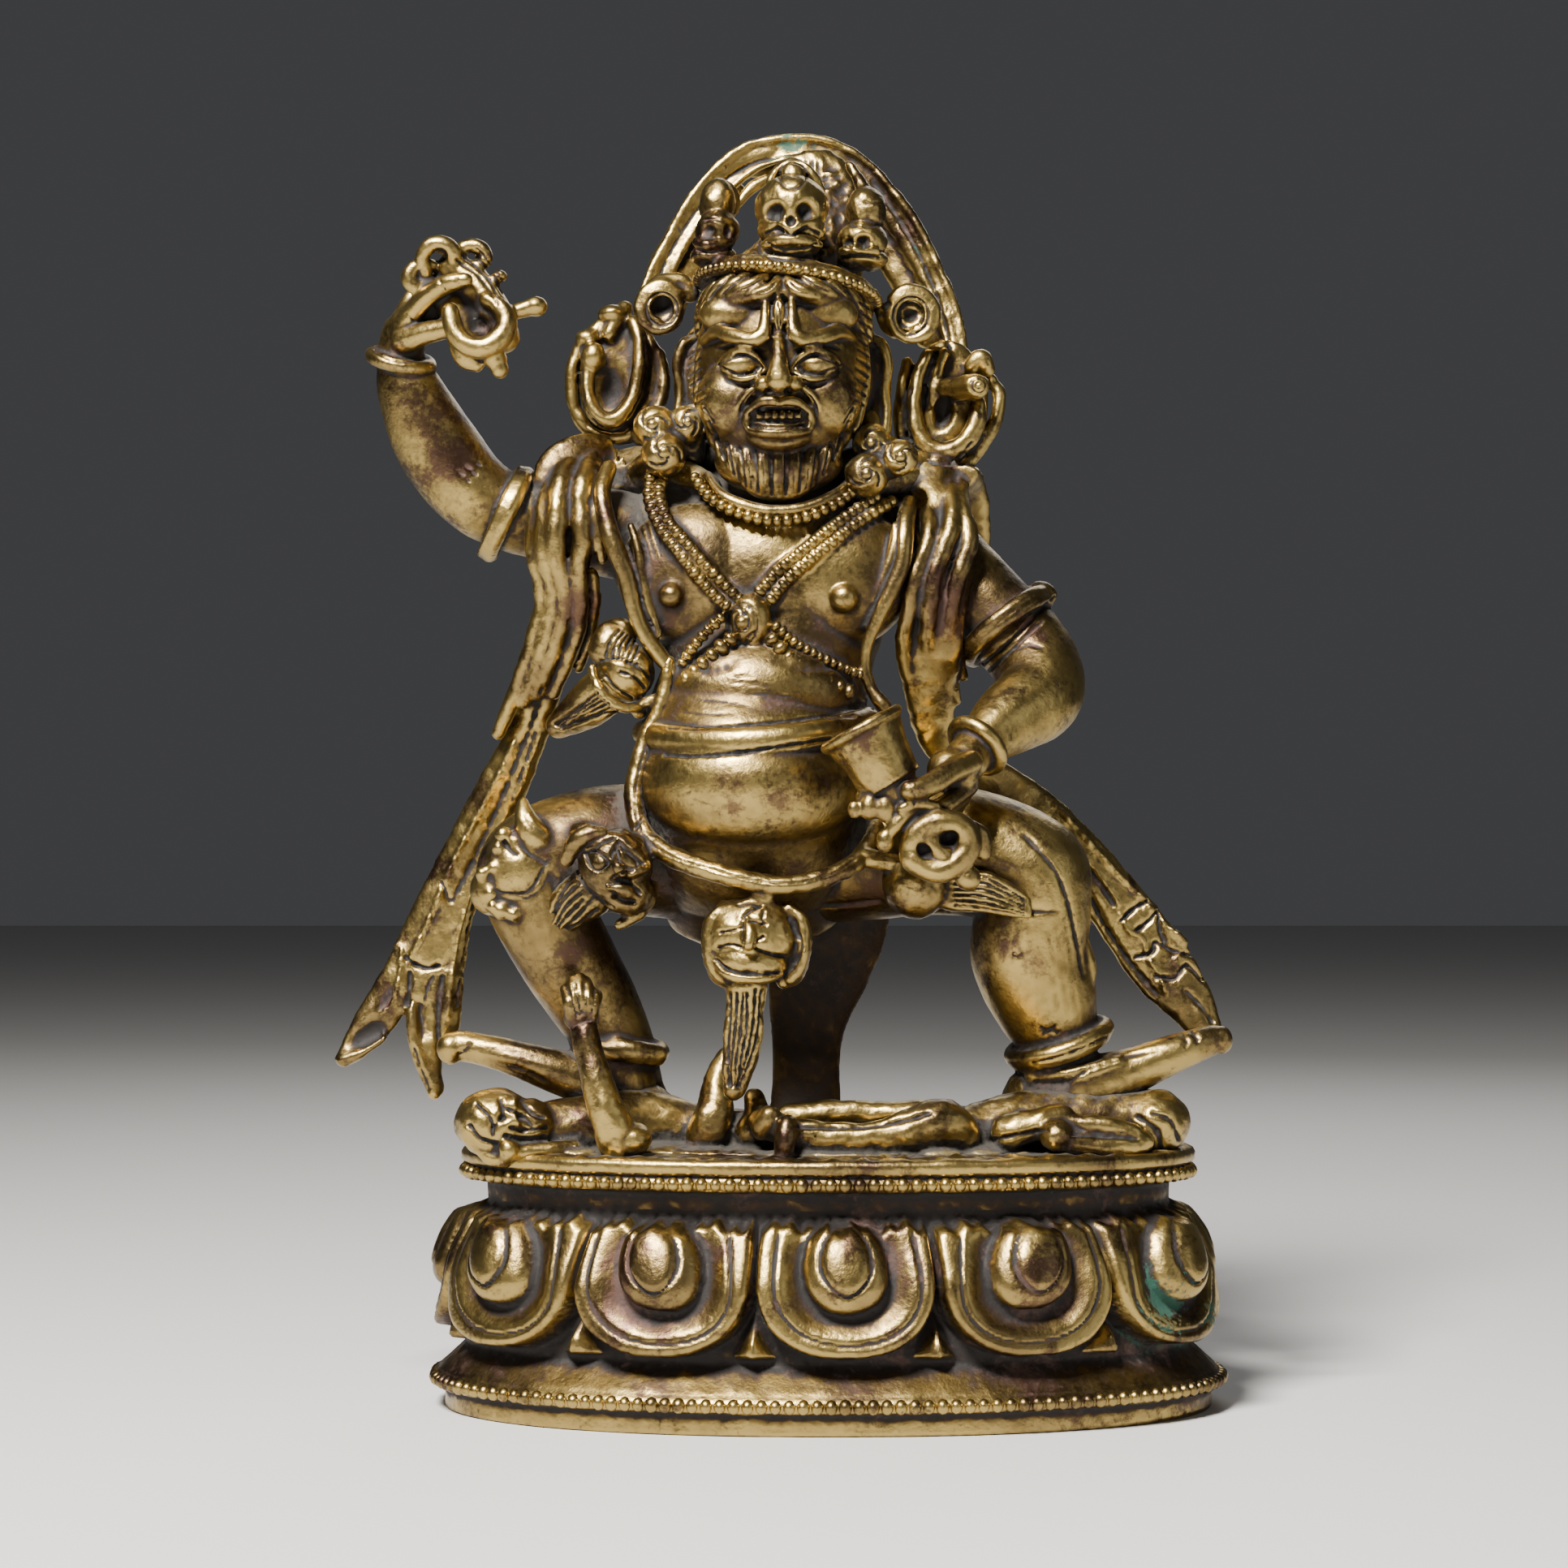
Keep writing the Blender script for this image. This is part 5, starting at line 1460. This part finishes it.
def makePedestal():
    plan = pedestalPlan
    turns, lengths, around = evenTurns(plan)
    # the moulded profile: height and inset, corner by corner
    corners = plan["profile"]
    rows = []
    for (za, ia), (zb, ib) in zip(corners, corners[1:]):
        count = max(1, round(math.hypot(zb - za, ib - ia) / plan["rowPitch"]))
        rows += [(za + (zb - za) * k / count, ia + (ib - ia) * k / count) for k in range(count)]
    rows.append(corners[-1])
    points, dark = [], []
    for height, inset in rows:
        stand, cut = petalStand(plan, lengths, around, height)
        out = stand - inset
        x, y = planPoint(turns, plan["halfWidth"], plan["halfDepth"], plan["roundness"])
        xi, yi = planPoint(turns, plan["halfWidth"] - 8, plan["halfDepth"] - 8, plan["roundness"])
        way = np.stack([x - xi, y - yi], 1) / 8
        flat = np.stack([x, y], 1) + way * out[:, None]
        points.append(np.column_stack([flat, np.full(len(flat), height)]))
        dark.append(cut)
    # the top closes in rings towards the middle, the underside in a few
    rim = points[-1]
    for share in plan["topRings"]:
        points.append(rim * np.array([share, share, 1.0]))
        dark.append(np.zeros(len(rim)))
    base = points[0]
    unders = [base * np.array([s, s, 1.0]) for s in plan["underRings"]]
    points = unders + points
    dark = [np.zeros(len(rim))] * len(unders) + dark
    count = plan["columns"]
    levels = len(points)
    steps = np.arange(count)
    after = (steps + 1) % count
    faces = np.concatenate([
        np.stack([k * count + steps, k * count + after, (k + 1) * count + after, (k + 1) * count + steps], 1)
        for k in range(levels - 1)])
    faces = faces.tolist()
    faces.append(list(reversed(range(count))))
    faces.append([(levels - 1) * count + k for k in range(count)])
    data = bpy.data.meshes.new("pedestal")
    data.from_pydata(np.concatenate(points).tolist(), [], faces)
    data.update()
    skin = Skin("pedestal", data, plan["triangles"])
    skin.dark = np.concatenate(dark)
    free = np.clip(skin.co[:, 2] / 0.6, 0, 1)
    for amount, size, seed in plan["handwork"]:
        skin.move += free * amount * waves(skin.co, size, seed)
    amount, size, seed = plan["topRoughness"]
    skin.move += (skin.co[:, 2] > plan["height"] - 0.03) * amount * waves(skin.co, size, seed)
    skin.settle()
    skin.co[:, 2] = np.maximum(skin.co[:, 2], 0.0)
    skin.co[skin.co[:, 2] < 0.05, 2] = 0.0
    skin.refresh()
    skin.dustShare = np.where(skin.co[:, 2] > 34.3, 1.0, 0.25)
    print("pedestal", len(faces), "faces")


# Rows of beads, strung by Geometry Nodes along their lines

beadPlan = {
    "upperRow": {"pitch": 1.86, "radius": 0.98, "stretch": 0.90, "height": 31.75, "inset": 4.75},
    "lowerRow": {"pitch": 1.78, "radius": 0.98, "stretch": 0.93, "height": 4.0, "inset": 0.75},
    "crownRow": {"pitch": 1.22, "radius": 0.68, "stretch": 1.0},
    "collar": {"pitch": 1.30, "radius": 0.85, "stretch": 0.85},
    "strand": {"pitch": 1.20, "radius": 0.88, "stretch": 0.80},
    "lowStrand": {"pitch": 1.50, "radius": 1.12, "stretch": 0.70},
    "fineStrand": {"pitch": 1.00, "radius": 0.80, "stretch": 0.66},
}


def beadTree():
    tree = bpy.data.node_groups.new("string of beads", "GeometryNodeTree")
    tree.interface.new_socket("Line", in_out="INPUT", socket_type="NodeSocketGeometry")
    for name, value in (("Pitch", 1.8), ("Radius", 0.9), ("Stretch", 0.9), ("Unevenness", 0.1)):
        socket = tree.interface.new_socket(name, in_out="INPUT", socket_type="NodeSocketFloat")
        socket.default_value = value
    tree.interface.new_socket("Metal", in_out="INPUT", socket_type="NodeSocketMaterial")
    tree.interface.new_socket("Beads", in_out="OUTPUT", socket_type="NodeSocketGeometry")
    nodes, links = tree.nodes, tree.links

    def compute(operation, first=None):
        made = nodes.new("ShaderNodeMath")
        made.operation = operation
        if first is not None:
            made.inputs[0].default_value = first
        return made

    given = nodes.new("NodeGroupInput")
    result = nodes.new("NodeGroupOutput")
    curve = nodes.new("GeometryNodeMeshToCurve")
    resample = nodes.new("GeometryNodeResampleCurve")
    resample.mode = "LENGTH"
    tangent = nodes.new("GeometryNodeInputTangent")
    align = nodes.new("FunctionNodeAlignEulerToVector")
    align.axis = "X"
    bead = nodes.new("GeometryNodeMeshIcoSphere")
    bead.inputs["Radius"].default_value = 1.0
    bead.inputs["Subdivisions"].default_value = 2
    chance = nodes.new("FunctionNodeRandomValue")
    chance.data_type = "FLOAT"
    chance.inputs["Seed"].default_value = 5
    less = compute("SUBTRACT", 1.0)
    more = compute("ADD", 1.0)
    size = compute("MULTIPLY")
    length = compute("MULTIPLY")
    scale = nodes.new("ShaderNodeCombineXYZ")
    place = nodes.new("GeometryNodeInstanceOnPoints")
    realize = nodes.new("GeometryNodeRealizeInstances")
    metal = nodes.new("GeometryNodeSetMaterial")
    wires = (
        (given, "Line", curve, "Mesh"), (curve, "Curve", resample, "Curve"),
        (given, "Pitch", resample, "Length"), (resample, "Curve", place, "Points"),
        (bead, "Mesh", place, "Instance"), (tangent, "Tangent", align, "Vector"),
        (align, "Rotation", place, "Rotation"), (given, "Unevenness", less, 1),
        (given, "Unevenness", more, 1), (less, 0, chance, 2), (more, 0, chance, 3),
        (given, "Radius", size, 0), (chance, 1, size, 1), (size, 0, length, 0),
        (given, "Stretch", length, 1), (length, 0, scale, "X"), (size, 0, scale, "Y"), (size, 0, scale, "Z"),
        (scale, "Vector", place, "Scale"), (place, "Instances", realize, "Geometry"),
        (realize, "Geometry", metal, "Geometry"), (given, "Metal", metal, "Material"),
        (metal, "Geometry", result, "Beads"),
    )
    for source, output, target, socket in wires:
        links.new(source.outputs[output], target.inputs[socket])
    return tree


def stringBeads(name, tree, path, plan, metal, closed=False, unevenness=0.10):
    points = [tuple(p[:3]) for p in path]
    edges = [(i, i + 1) for i in range(len(points) - 1)]
    if closed:
        edges.append((len(points) - 1, 0))
    data = bpy.data.meshes.new(name)
    data.from_pydata(points, edges, [])
    thing = bpy.data.objects.new(name, data)
    bpy.context.scene.collection.objects.link(thing)
    modifier = thing.modifiers.new("beads", "NODES")
    modifier.node_group = tree
    sockets = {item.name: item.identifier for item in tree.interface.items_tree if item.in_out == "INPUT"}
    for label in ("Pitch", "Radius", "Stretch"):
        modifier[sockets[label]] = plan[label.lower()]
    modifier[sockets["Unevenness"]] = unevenness
    modifier[sockets["Metal"]] = metal
    made = evaluatedMesh(thing)
    made.name = name
    bpy.data.objects.remove(thing, do_unlink=True)
    return Skin(name, made)


def makeBeads(metal):
    tree = beadTree()
    oval = pedestalPlan
    fine = np.linspace(0, 2 * math.pi, 721)[:-1]
    for name, row in (("upper_bead_row", beadPlan["upperRow"]), ("lower_bead_row", beadPlan["lowerRow"])):
        inset = row["inset"]
        x, y = planPoint(fine, oval["halfWidth"] - inset, oval["halfDepth"] - inset, oval["roundness"])
        path = np.column_stack([x, y, np.full(len(x), row["height"])])
        stringBeads(name, tree, path, row, metal, closed=True, unevenness=0.07)
    band = crownPlan["band"]
    axis = Vector(band["axis"]).normalized()
    first = axis.cross(Vector((0, 1, 0))).normalized()
    second = axis.cross(first)
    path = []
    for k in range(61):
        a = math.radians(-18 + 216 * k / 60)
        way = first * math.cos(a) + second * math.sin(a)
        if way.y > 0.45:
            continue
        path.append(Vector(band["centre"]) + way * (band["radius"] + 0.75) + axis * -0.1)
    stringBeads("crown_beads", tree, path, beadPlan["crownRow"], metal)
    collar = smoothStations(solidPoints(whole, necklacePlan["collarBeads"]), 12)
    stringBeads("collar_beads", tree, collar, beadPlan["collar"], metal, unevenness=0.14)
    for name, line in necklacePlan["strands"].items():
        path = smoothStations(solidPoints(line["drawing"], line["path"]), 12)
        stringBeads(name + "_beads", tree, path, beadPlan[line["kind"]], metal, unevenness=0.16)


# Old brass: bright where hands rub it, brown in the hollows, dust and a little green

brassPlan = {
    "dull": (0.110, 0.070, 0.034), "mottle": (0.052, 0.036, 0.018), "stain": (0.078, 0.040, 0.030),
    "roughness": 0.28, "specular": 0.45, "pitScale": 620, "relief": 0.32, "reliefHeight": 0.22,
    "noiseScales": {"broad": 52, "blotch": 170, "grain": 900, "speck": 2100, "fine": 1300},
    "rubbed": (0.41, 0.295, 0.098), "worn": (0.142, 0.096, 0.031), "brown": (0.042, 0.026, 0.016),
    "black": (0.012, 0.009, 0.008), "dust": (0.052, 0.046, 0.037), "green": (0.016, 0.072, 0.048),
    "brownSpots": [((-54.3, -9.0, 132.6), 4.2), ((-50.4, -9.0, 127.0), 3.4), ((-14.6, -23.0, 88.0), 3.0),
                   ((-13.4, -23.6, 84.6), 3.2), ((-12.8, -23.0, 80.6), 3.4), ((-6.0, -22.6, 80.4), 3.6),
                   ((26.6, -14.6, 60.6), 4.2), ((30.0, -10.0, 56.0), 3.6),
                   ((27.0, -8.0, 104.0), 3.2), ((-33.8, -9.0, 108.0), 5.0), ((-48.0, 2.0, 82.0), 4.5),
                   ((16.0, -9.0, 106.0), 4.0), ((-26.0, -25.0, 21.0), 5.0), ((27.0, -26.0, 19.0), 5.0)],
    "greenSpots": [((44.0, -18.0, 15.0), 7.5), ((50.5, -10.0, 12.5), 6.5), ((36.0, -26.0, 19.5), 3.6),
                   ((-5.0, 7.0, 174.0), 5.0), ((14.0, 7.0, 160.0), 3.0), ((-50.0, -15.5, 147.0), 1.6),
                   ((40.0, -26.0, 12.0), 4.5)],
    "bareSpots": [((-9.0, -12.0, 117.0), 9.0), ((-2.5, -12.5, 112.5), 8.5), ((-16.0, -12.5, 111.5), 6.0),
                  ((-8.0, -12.0, 101.5), 7.0), ((-28.0, -20.0, 71.0), 6.0), ((-10.2, -22.0, 63.5), 6.0)],
}


surfaceMarks = ("hollow", "proud", "ledge", "verdigris", "patch")


def makeBrass(name, plan):
    metal = bpy.data.materials.new(name)
    metal.use_nodes = True
    nodes, links = metal.node_tree.nodes, metal.node_tree.links
    shader = nodes["Principled BSDF"]

    def node(kind, **inputs):
        made = nodes.new(kind)
        for key, value in inputs.items():
            made.inputs[key.replace("_", " ")].default_value = value
        return made

    def mix(factor, a, b, blend="MIX"):
        made = nodes.new("ShaderNodeMix")
        made.data_type = "RGBA"
        made.blend_type = blend
        for socket, value in ((made.inputs[0], factor), (made.inputs[6], a), (made.inputs[7], b)):
            if isinstance(value, bpy.types.NodeSocket):
                links.new(value, socket)
            elif isinstance(value, tuple):
                socket.default_value = (*value, 1.0)
            else:
                socket.default_value = value
        return made.outputs[2]

    def ramp(value, low, high, start=0.0, end=1.0):
        made = nodes.new("ShaderNodeMapRange")
        made.interpolation_type = "SMOOTHSTEP"
        links.new(value, made.inputs["Value"])
        made.inputs["From Min"].default_value = low
        made.inputs["From Max"].default_value = high
        made.inputs["To Min"].default_value = start
        made.inputs["To Max"].default_value = end
        return made.outputs["Result"]

    def weighted(*terms):
        # value times weight, added up
        total = None
        for value, weight in terms:
            made = nodes.new("ShaderNodeMath")
            made.operation = "MULTIPLY_ADD"
            links.new(value, made.inputs[0])
            made.inputs[1].default_value = weight
            if total is None:
                made.inputs[2].default_value = 0.0
            else:
                links.new(total, made.inputs[2])
            total = made.outputs[0]
        return total

    def compute(operation, a, b, clamp=False):
        made = nodes.new("ShaderNodeMath")
        made.operation = operation
        made.use_clamp = clamp
        for socket, value in ((made.inputs[0], a), (made.inputs[1], b)):
            if isinstance(value, bpy.types.NodeSocket):
                links.new(value, socket)
            else:
                socket.default_value = value
        return made.outputs[0]

    def product(a, b):
        return compute("MULTIPLY", a, b)

    place = nodes.new("ShaderNodeTexCoord").outputs["Object"]

    def noise(scale, detail=4.0, rough=0.55, distortion=0.0):
        made = node("ShaderNodeTexNoise", Scale=scale, Detail=detail, Roughness=rough, Distortion=distortion)
        links.new(place, made.inputs["Vector"])
        return made.outputs["Fac"]

    def attribute(key):
        made = nodes.new("ShaderNodeAttribute")
        made.attribute_name = key
        return made.outputs["Fac"]

    hollow, proud, ledge, verdigris, patch = (attribute(k) for k in surfaceMarks)
    scales = plan["noiseScales"]
    broad = noise(scales["broad"], 3.0)
    blotch = noise(scales["blotch"], 5.0, 0.62, 0.5)
    grain = noise(scales["grain"], 4.0, 0.6)
    speck = noise(scales["speck"], 2.0, 0.5)
    # tarnish gathers in hollows, thins where rubbed
    tarnish = weighted((hollow, 1.40), (proud, -0.80), (blotch, 1.35), (broad, 0.50), (grain, 0.35))
    brown = ramp(tarnish, 0.98, 1.60)
    black = ramp(tarnish, 1.38, 2.05)
    fine = noise(scales["fine"], 6.0, 0.65)
    mottle = ramp(weighted((fine, 0.6), (blotch, 1.0), (broad, 0.6), (proud, -0.10)), 0.99, 1.28, 0.0, 0.85)
    shine = ramp(weighted((proud, 1.0), (broad, 0.35), (grain, 0.25)), 0.35, 0.95)
    colour = mix(shine, plan["worn"], plan["rubbed"])
    colour = mix(ramp(broad, 0.44, 0.66, 0.0, 0.7), colour, plan["dull"])
    colour = mix(mottle, colour, plan["mottle"])
    colour = mix(brown, colour, plan["brown"])
    colour = mix(black, colour, plan["black"])
    stain = ramp(weighted((blotch, 1.3), (broad, 0.5), (fine, 0.5), (patch, 0.34)), 1.22, 1.46)
    colour = mix(product(stain, 0.75), colour, plan["stain"])
    dusty = product(ramp(weighted((ledge, 0.62), (fine, 1.6), (blotch, 0.7)), 1.34, 1.92), 0.78)
    colour = mix(dusty, colour, plan["dust"])
    verdure = weighted((verdigris, 0.8), (fine, 1.1), (grain, 1.1), (hollow, 0.35))
    greenShare = ramp(verdure, 1.72, 1.98, 0.0, 0.9)
    colour = mix(greenShare, colour, plan["green"])
    links.new(colour, shader.inputs["Base Color"])
    cover = compute("MAXIMUM", dusty, greenShare)
    hidden = weighted((cover, 0.95), (black, 0.55), (brown, 0.18))
    links.new(compute("SUBTRACT", 1.0, hidden, clamp=True), shader.inputs["Metallic"])
    rough = weighted((shine, -0.10), (brown, 0.16), (black, 0.12), (cover, 0.35), (grain, 0.16),
                     (blotch, 0.10))
    links.new(compute("ADD", plan["roughness"], rough, clamp=True), shader.inputs["Roughness"])
    shader.inputs["Specular IOR Level"].default_value = plan["specular"]
    # cast skin: fine pits and soft dents
    pits = nodes.new("ShaderNodeTexVoronoi")
    pits.inputs["Scale"].default_value = plan["pitScale"]
    links.new(place, pits.inputs["Vector"])
    pitted = ramp(pits.outputs["Distance"], 0.0, 0.28)
    relief = weighted((grain, 0.8), (fine, 0.7), (speck, 0.35), (pitted, 0.3))
    bump = nodes.new("ShaderNodeBump")
    bump.inputs["Strength"].default_value = plan["relief"]
    bump.inputs["Distance"].default_value = plan["reliefHeight"] * 0.001
    links.new(relief, bump.inputs["Height"])
    links.new(bump.outputs["Normal"], shader.inputs["Normal"])
    return metal


# How hollow, proud and dusty each place is

wearPlan = {"cell": 0.62, "margin": 9.0, "near": 0.75, "wide": 2.6, "nearOffset": 0.55, "wideOffset": 1.6,
            "rounds": 14, "finish": (3, 13)}


def neighbourMean(edges, count, values):
    total = np.empty_like(values)
    degree = np.bincount(edges.ravel(), minlength=count).astype(float)
    for k in range(values.shape[1]):
        total[:, k] = np.bincount(edges[:, 0], values[edges[:, 1], k], count)
        total[:, k] += np.bincount(edges[:, 1], values[edges[:, 0], k], count)
    return total / np.maximum(degree, 1)[:, None]


def areaNormals(skin):
    data = skin.data
    data.calc_loop_triangles()
    corners = np.empty(len(data.loop_triangles) * 3, np.int32)
    data.loop_triangles.foreach_get("vertices", corners)
    corners = corners.reshape(-1, 3)
    a, b, c = (skin.co[corners[:, k]] for k in range(3))
    face = np.cross(b - a, c - a) / 6
    total = np.zeros_like(skin.co)
    for k in range(3):
        for axis in range(3):
            total[:, axis] += np.bincount(corners[:, k], face[:, axis], len(skin.co))
    return total


def cellShares(spot, shape):
    # the eight cells round each point, and the point's share of each
    lowest = np.clip(np.floor(spot).astype(int), 0, np.array(shape) - 2)
    part = spot - lowest
    for corner in range(8):
        bit = np.array([(corner >> k) & 1 for k in range(3)])
        yield lowest + bit, np.prod(np.where(bit, part, 1 - part), axis=1)


def measureWear():
    # the solid's density, blurred, from its surface alone: its gradient is the surface's normal
    cell = wearPlan["cell"]
    allPoints = np.concatenate([s.co for s in skins])
    low = allPoints.min(0) - wearPlan["margin"]
    shape = tuple(int(n) for n in np.ceil((allPoints.max(0) + wearPlan["margin"] - low) / cell))
    flow = [np.zeros(shape[0] * shape[1] * shape[2]) for _ in range(3)]
    for skin in skins:
        push = areaNormals(skin)
        spot = (skin.co - low) / cell - 0.5
        for where, weight in cellShares(spot, shape):
            index = (where[:, 0] * shape[1] + where[:, 1]) * shape[2] + where[:, 2]
            for axis in range(3):
                flow[axis] += np.bincount(index, weight * push[:, axis], len(flow[axis]))
    waveNumbers = [np.fft.fftfreq(n, cell) * 2 * math.pi for n in shape]
    waveNumbers[2] = np.fft.rfftfreq(shape[2], cell) * 2 * math.pi
    kx, ky, kz = np.meshgrid(*waveNumbers, indexing="ij")
    square = kx ** 2 + ky ** 2 + kz ** 2
    square[0, 0, 0] = 1.0
    spread = sum(1j * k * np.fft.rfftn(f.reshape(shape)) for k, f in zip((kx, ky, kz), flow)) / cell ** 3
    field = spread / square
    field[0, 0, 0] = 0
    blurred = {}
    for name in ("near", "wide"):
        blur = np.exp(-0.5 * square * wearPlan[name] ** 2)
        density = np.fft.irfftn(field * blur, shape)
        density -= np.median(density[:3])
        blurred[name] = density

    def read(density, points):
        spot = (points - low) / cell - 0.5
        total = np.zeros(len(points))
        for where, weight in cellShares(spot, shape):
            total += weight * density[where[:, 0], where[:, 1], where[:, 2]]
        return total

    for skin in skins:
        edges = np.empty(len(skin.data.edges) * 2, np.int32)
        skin.data.edges.foreach_get("vertices", edges)
        edges = edges.reshape(-1, 2)
        blurredCo = skin.co
        curve = []
        for step in range(wearPlan["rounds"]):
            blurredCo = neighbourMean(edges, len(skin.co), blurredCo)
            if step in wearPlan["finish"]:
                curve.append(((blurredCo - skin.co) * skin.normal).sum(1))
        near = read(blurred["near"], skin.co + skin.normal * wearPlan["nearOffset"])
        wide = read(blurred["wide"], skin.co + skin.normal * wearPlan["wideOffset"])
        hollow = (np.clip(curve[0] / 0.07, -0.3, 1) * 0.40 + np.clip(curve[1] / 0.22, -0.3, 1) * 0.35
                  + np.clip((near - 0.30) / 0.35, 0, 1) * 0.35 + np.clip((wide - 0.34) / 0.34, 0, 1) * 0.75
                  + skin.dark * 0.55)
        proud = (np.clip(-curve[0] / 0.06, 0, 1) * 0.35 + np.clip(-curve[1] / 0.20, 0, 1) * 0.45
                 + np.clip((0.30 - wide) / 0.16, 0, 1) * 0.55)
        skin.hollow = np.clip(hollow, 0, 1.3)
        skin.proud = np.clip(proud, 0, 1) * (1 - np.clip(skin.dark, 0, 1))
        up = np.clip((skin.normal[:, 2] - 0.15) / 0.6, 0, 1)
        ledge = up * np.clip((wide - 0.22) / 0.30, 0, 1) * 0.85 + np.clip((wide - 0.38) / 0.24, 0, 1) * 0.75
        skin.ledge = np.clip(ledge, 0, 1.1) * skin.dustShare
        for mark, spots in (("verdigris", brassPlan["greenSpots"]), ("patch", brassPlan["brownSpots"])):
            share = np.zeros(len(skin.co))
            for centre, radius in spots:
                away = np.linalg.norm(skin.co - np.array(centre), axis=1) / radius
                share = np.maximum(share, np.clip(1.15 - away, 0, 1))
            setattr(skin, mark, share)
        for centre, radius in brassPlan["bareSpots"]:
            share = np.clip(1.15 - np.linalg.norm(skin.co - np.array(centre), axis=1) / radius, 0, 1)
            skin.hollow *= 1 - 0.6 * share
            skin.patch = skin.patch - 1.3 * share
            skin.proud = np.maximum(skin.proud, 0.8 * share * (1 - np.clip(skin.dark, 0, 1)))


def thinned(skin):
    # as many triangles as the piece may keep, most of them where its surface bends
    if skin.triangles is None:
        return skin.data
    skin.data.calc_loop_triangles()
    thing = bpy.data.objects.new(skin.name, skin.data)
    bpy.context.scene.collection.objects.link(thing)
    thin = thing.modifiers.new("thin", "DECIMATE")
    thin.ratio = min(1.0, skin.triangles / len(skin.data.loop_triangles))
    lighter = evaluatedMesh(thing)
    bpy.data.objects.remove(thing, do_unlink=True)
    return lighter


def finishSkin(skin, metal):
    data = skin.data
    for name in surfaceMarks:
        layer = data.attributes.new(name, "FLOAT", "POINT")
        layer.data.foreach_set("value", getattr(skin, name).astype(np.float32))
    data.vertices.foreach_set("co", skin.co.astype(np.float32).ravel())
    data.update()
    data = thinned(skin)
    data.name = skin.name
    data.transform(Matrix.Scale(0.001, 4))
    data.update()
    data.shade_smooth()
    data.materials.clear()
    data.materials.append(metal)
    thing = bpy.data.objects.new(skin.name, data)
    bpy.context.scene.collection.objects.link(thing)
    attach(thing, "root")
    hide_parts("vajrapani_statue")
    return thing


def makeStudio():
    scene = bpy.context.scene
    eye = Vector(studio["eye"]) * 0.001
    camera = bpy.data.cameras.new("camera")
    camera.lens = studio["lens"]
    camera.sensor_width = 36
    camera.clip_start = 0.01
    thing = bpy.data.objects.new("camera", camera)
    thing.location = eye
    thing.rotation_euler = (math.radians(90 + studio["tiltUp"]), 0, 0)
    scene.collection.objects.link(thing)
    scene.camera = thing
    aim = Vector(studio["aim"]) * 0.001
    for name in ("key", "fill", "back"):
        plan = studio[name]
        lamp = bpy.data.lights.new(name, "AREA")
        lamp.shape = "DISK"
        lamp.size = plan["size"] * 0.001
        lamp.energy = plan["power"]
        lamp.color = plan["colour"]
        lampThing = bpy.data.objects.new(name, lamp)
        lampThing.location = Vector(plan["place"]) * 0.001
        lampThing.rotation_euler = (aim - lampThing.location).to_track_quat("-Z", "Y").to_euler()
        scene.collection.objects.link(lampThing)
    world = bpy.data.worlds.new("room")
    world.use_nodes = True
    world.node_tree.nodes["Background"].inputs["Color"].default_value = (*studio["room"], 1)
    world.node_tree.nodes["Background"].inputs["Strength"].default_value = studio["roomStrength"]
    scene.world = world
    half = studio["floorHalf"] * 0.001
    floorData = bpy.data.meshes.new("floor")
    corners = [(-half, -half, 0), (half, -half, 0), (half, half, 0), (-half, half, 0)]
    floorData.from_pydata(corners, [], [(0, 1, 2, 3)])
    floor = bpy.data.objects.new("floor", floorData)
    scene.collection.objects.link(floor)
    paint = bpy.data.materials.new("pale floor")
    paint.use_nodes = True
    shader = paint.node_tree.nodes["Principled BSDF"]
    shader.inputs["Base Color"].default_value = (*studio["floor"], 1)
    shader.inputs["Roughness"].default_value = studio["floorRoughness"]
    floorData.materials.append(paint)


makeStudio()
brass = makeBrass("old brass", brassPlan)
makers = (makeTorso, makeRaisedArm, makeBentArm, makeLegs, makeHead, makeCrown, makeScarf, makeGarland,
          makeFallen, makePedestal)
for make in makers:
    make()
makeBeads(brass)
print("shapes made")
measureWear()
print("wear measured")
pieces = [finishSkin(skin, brass) for skin in skins]
print(len(pieces), "pieces finished,", sum(len(piece.data.polygons) for piece in pieces), "faces")
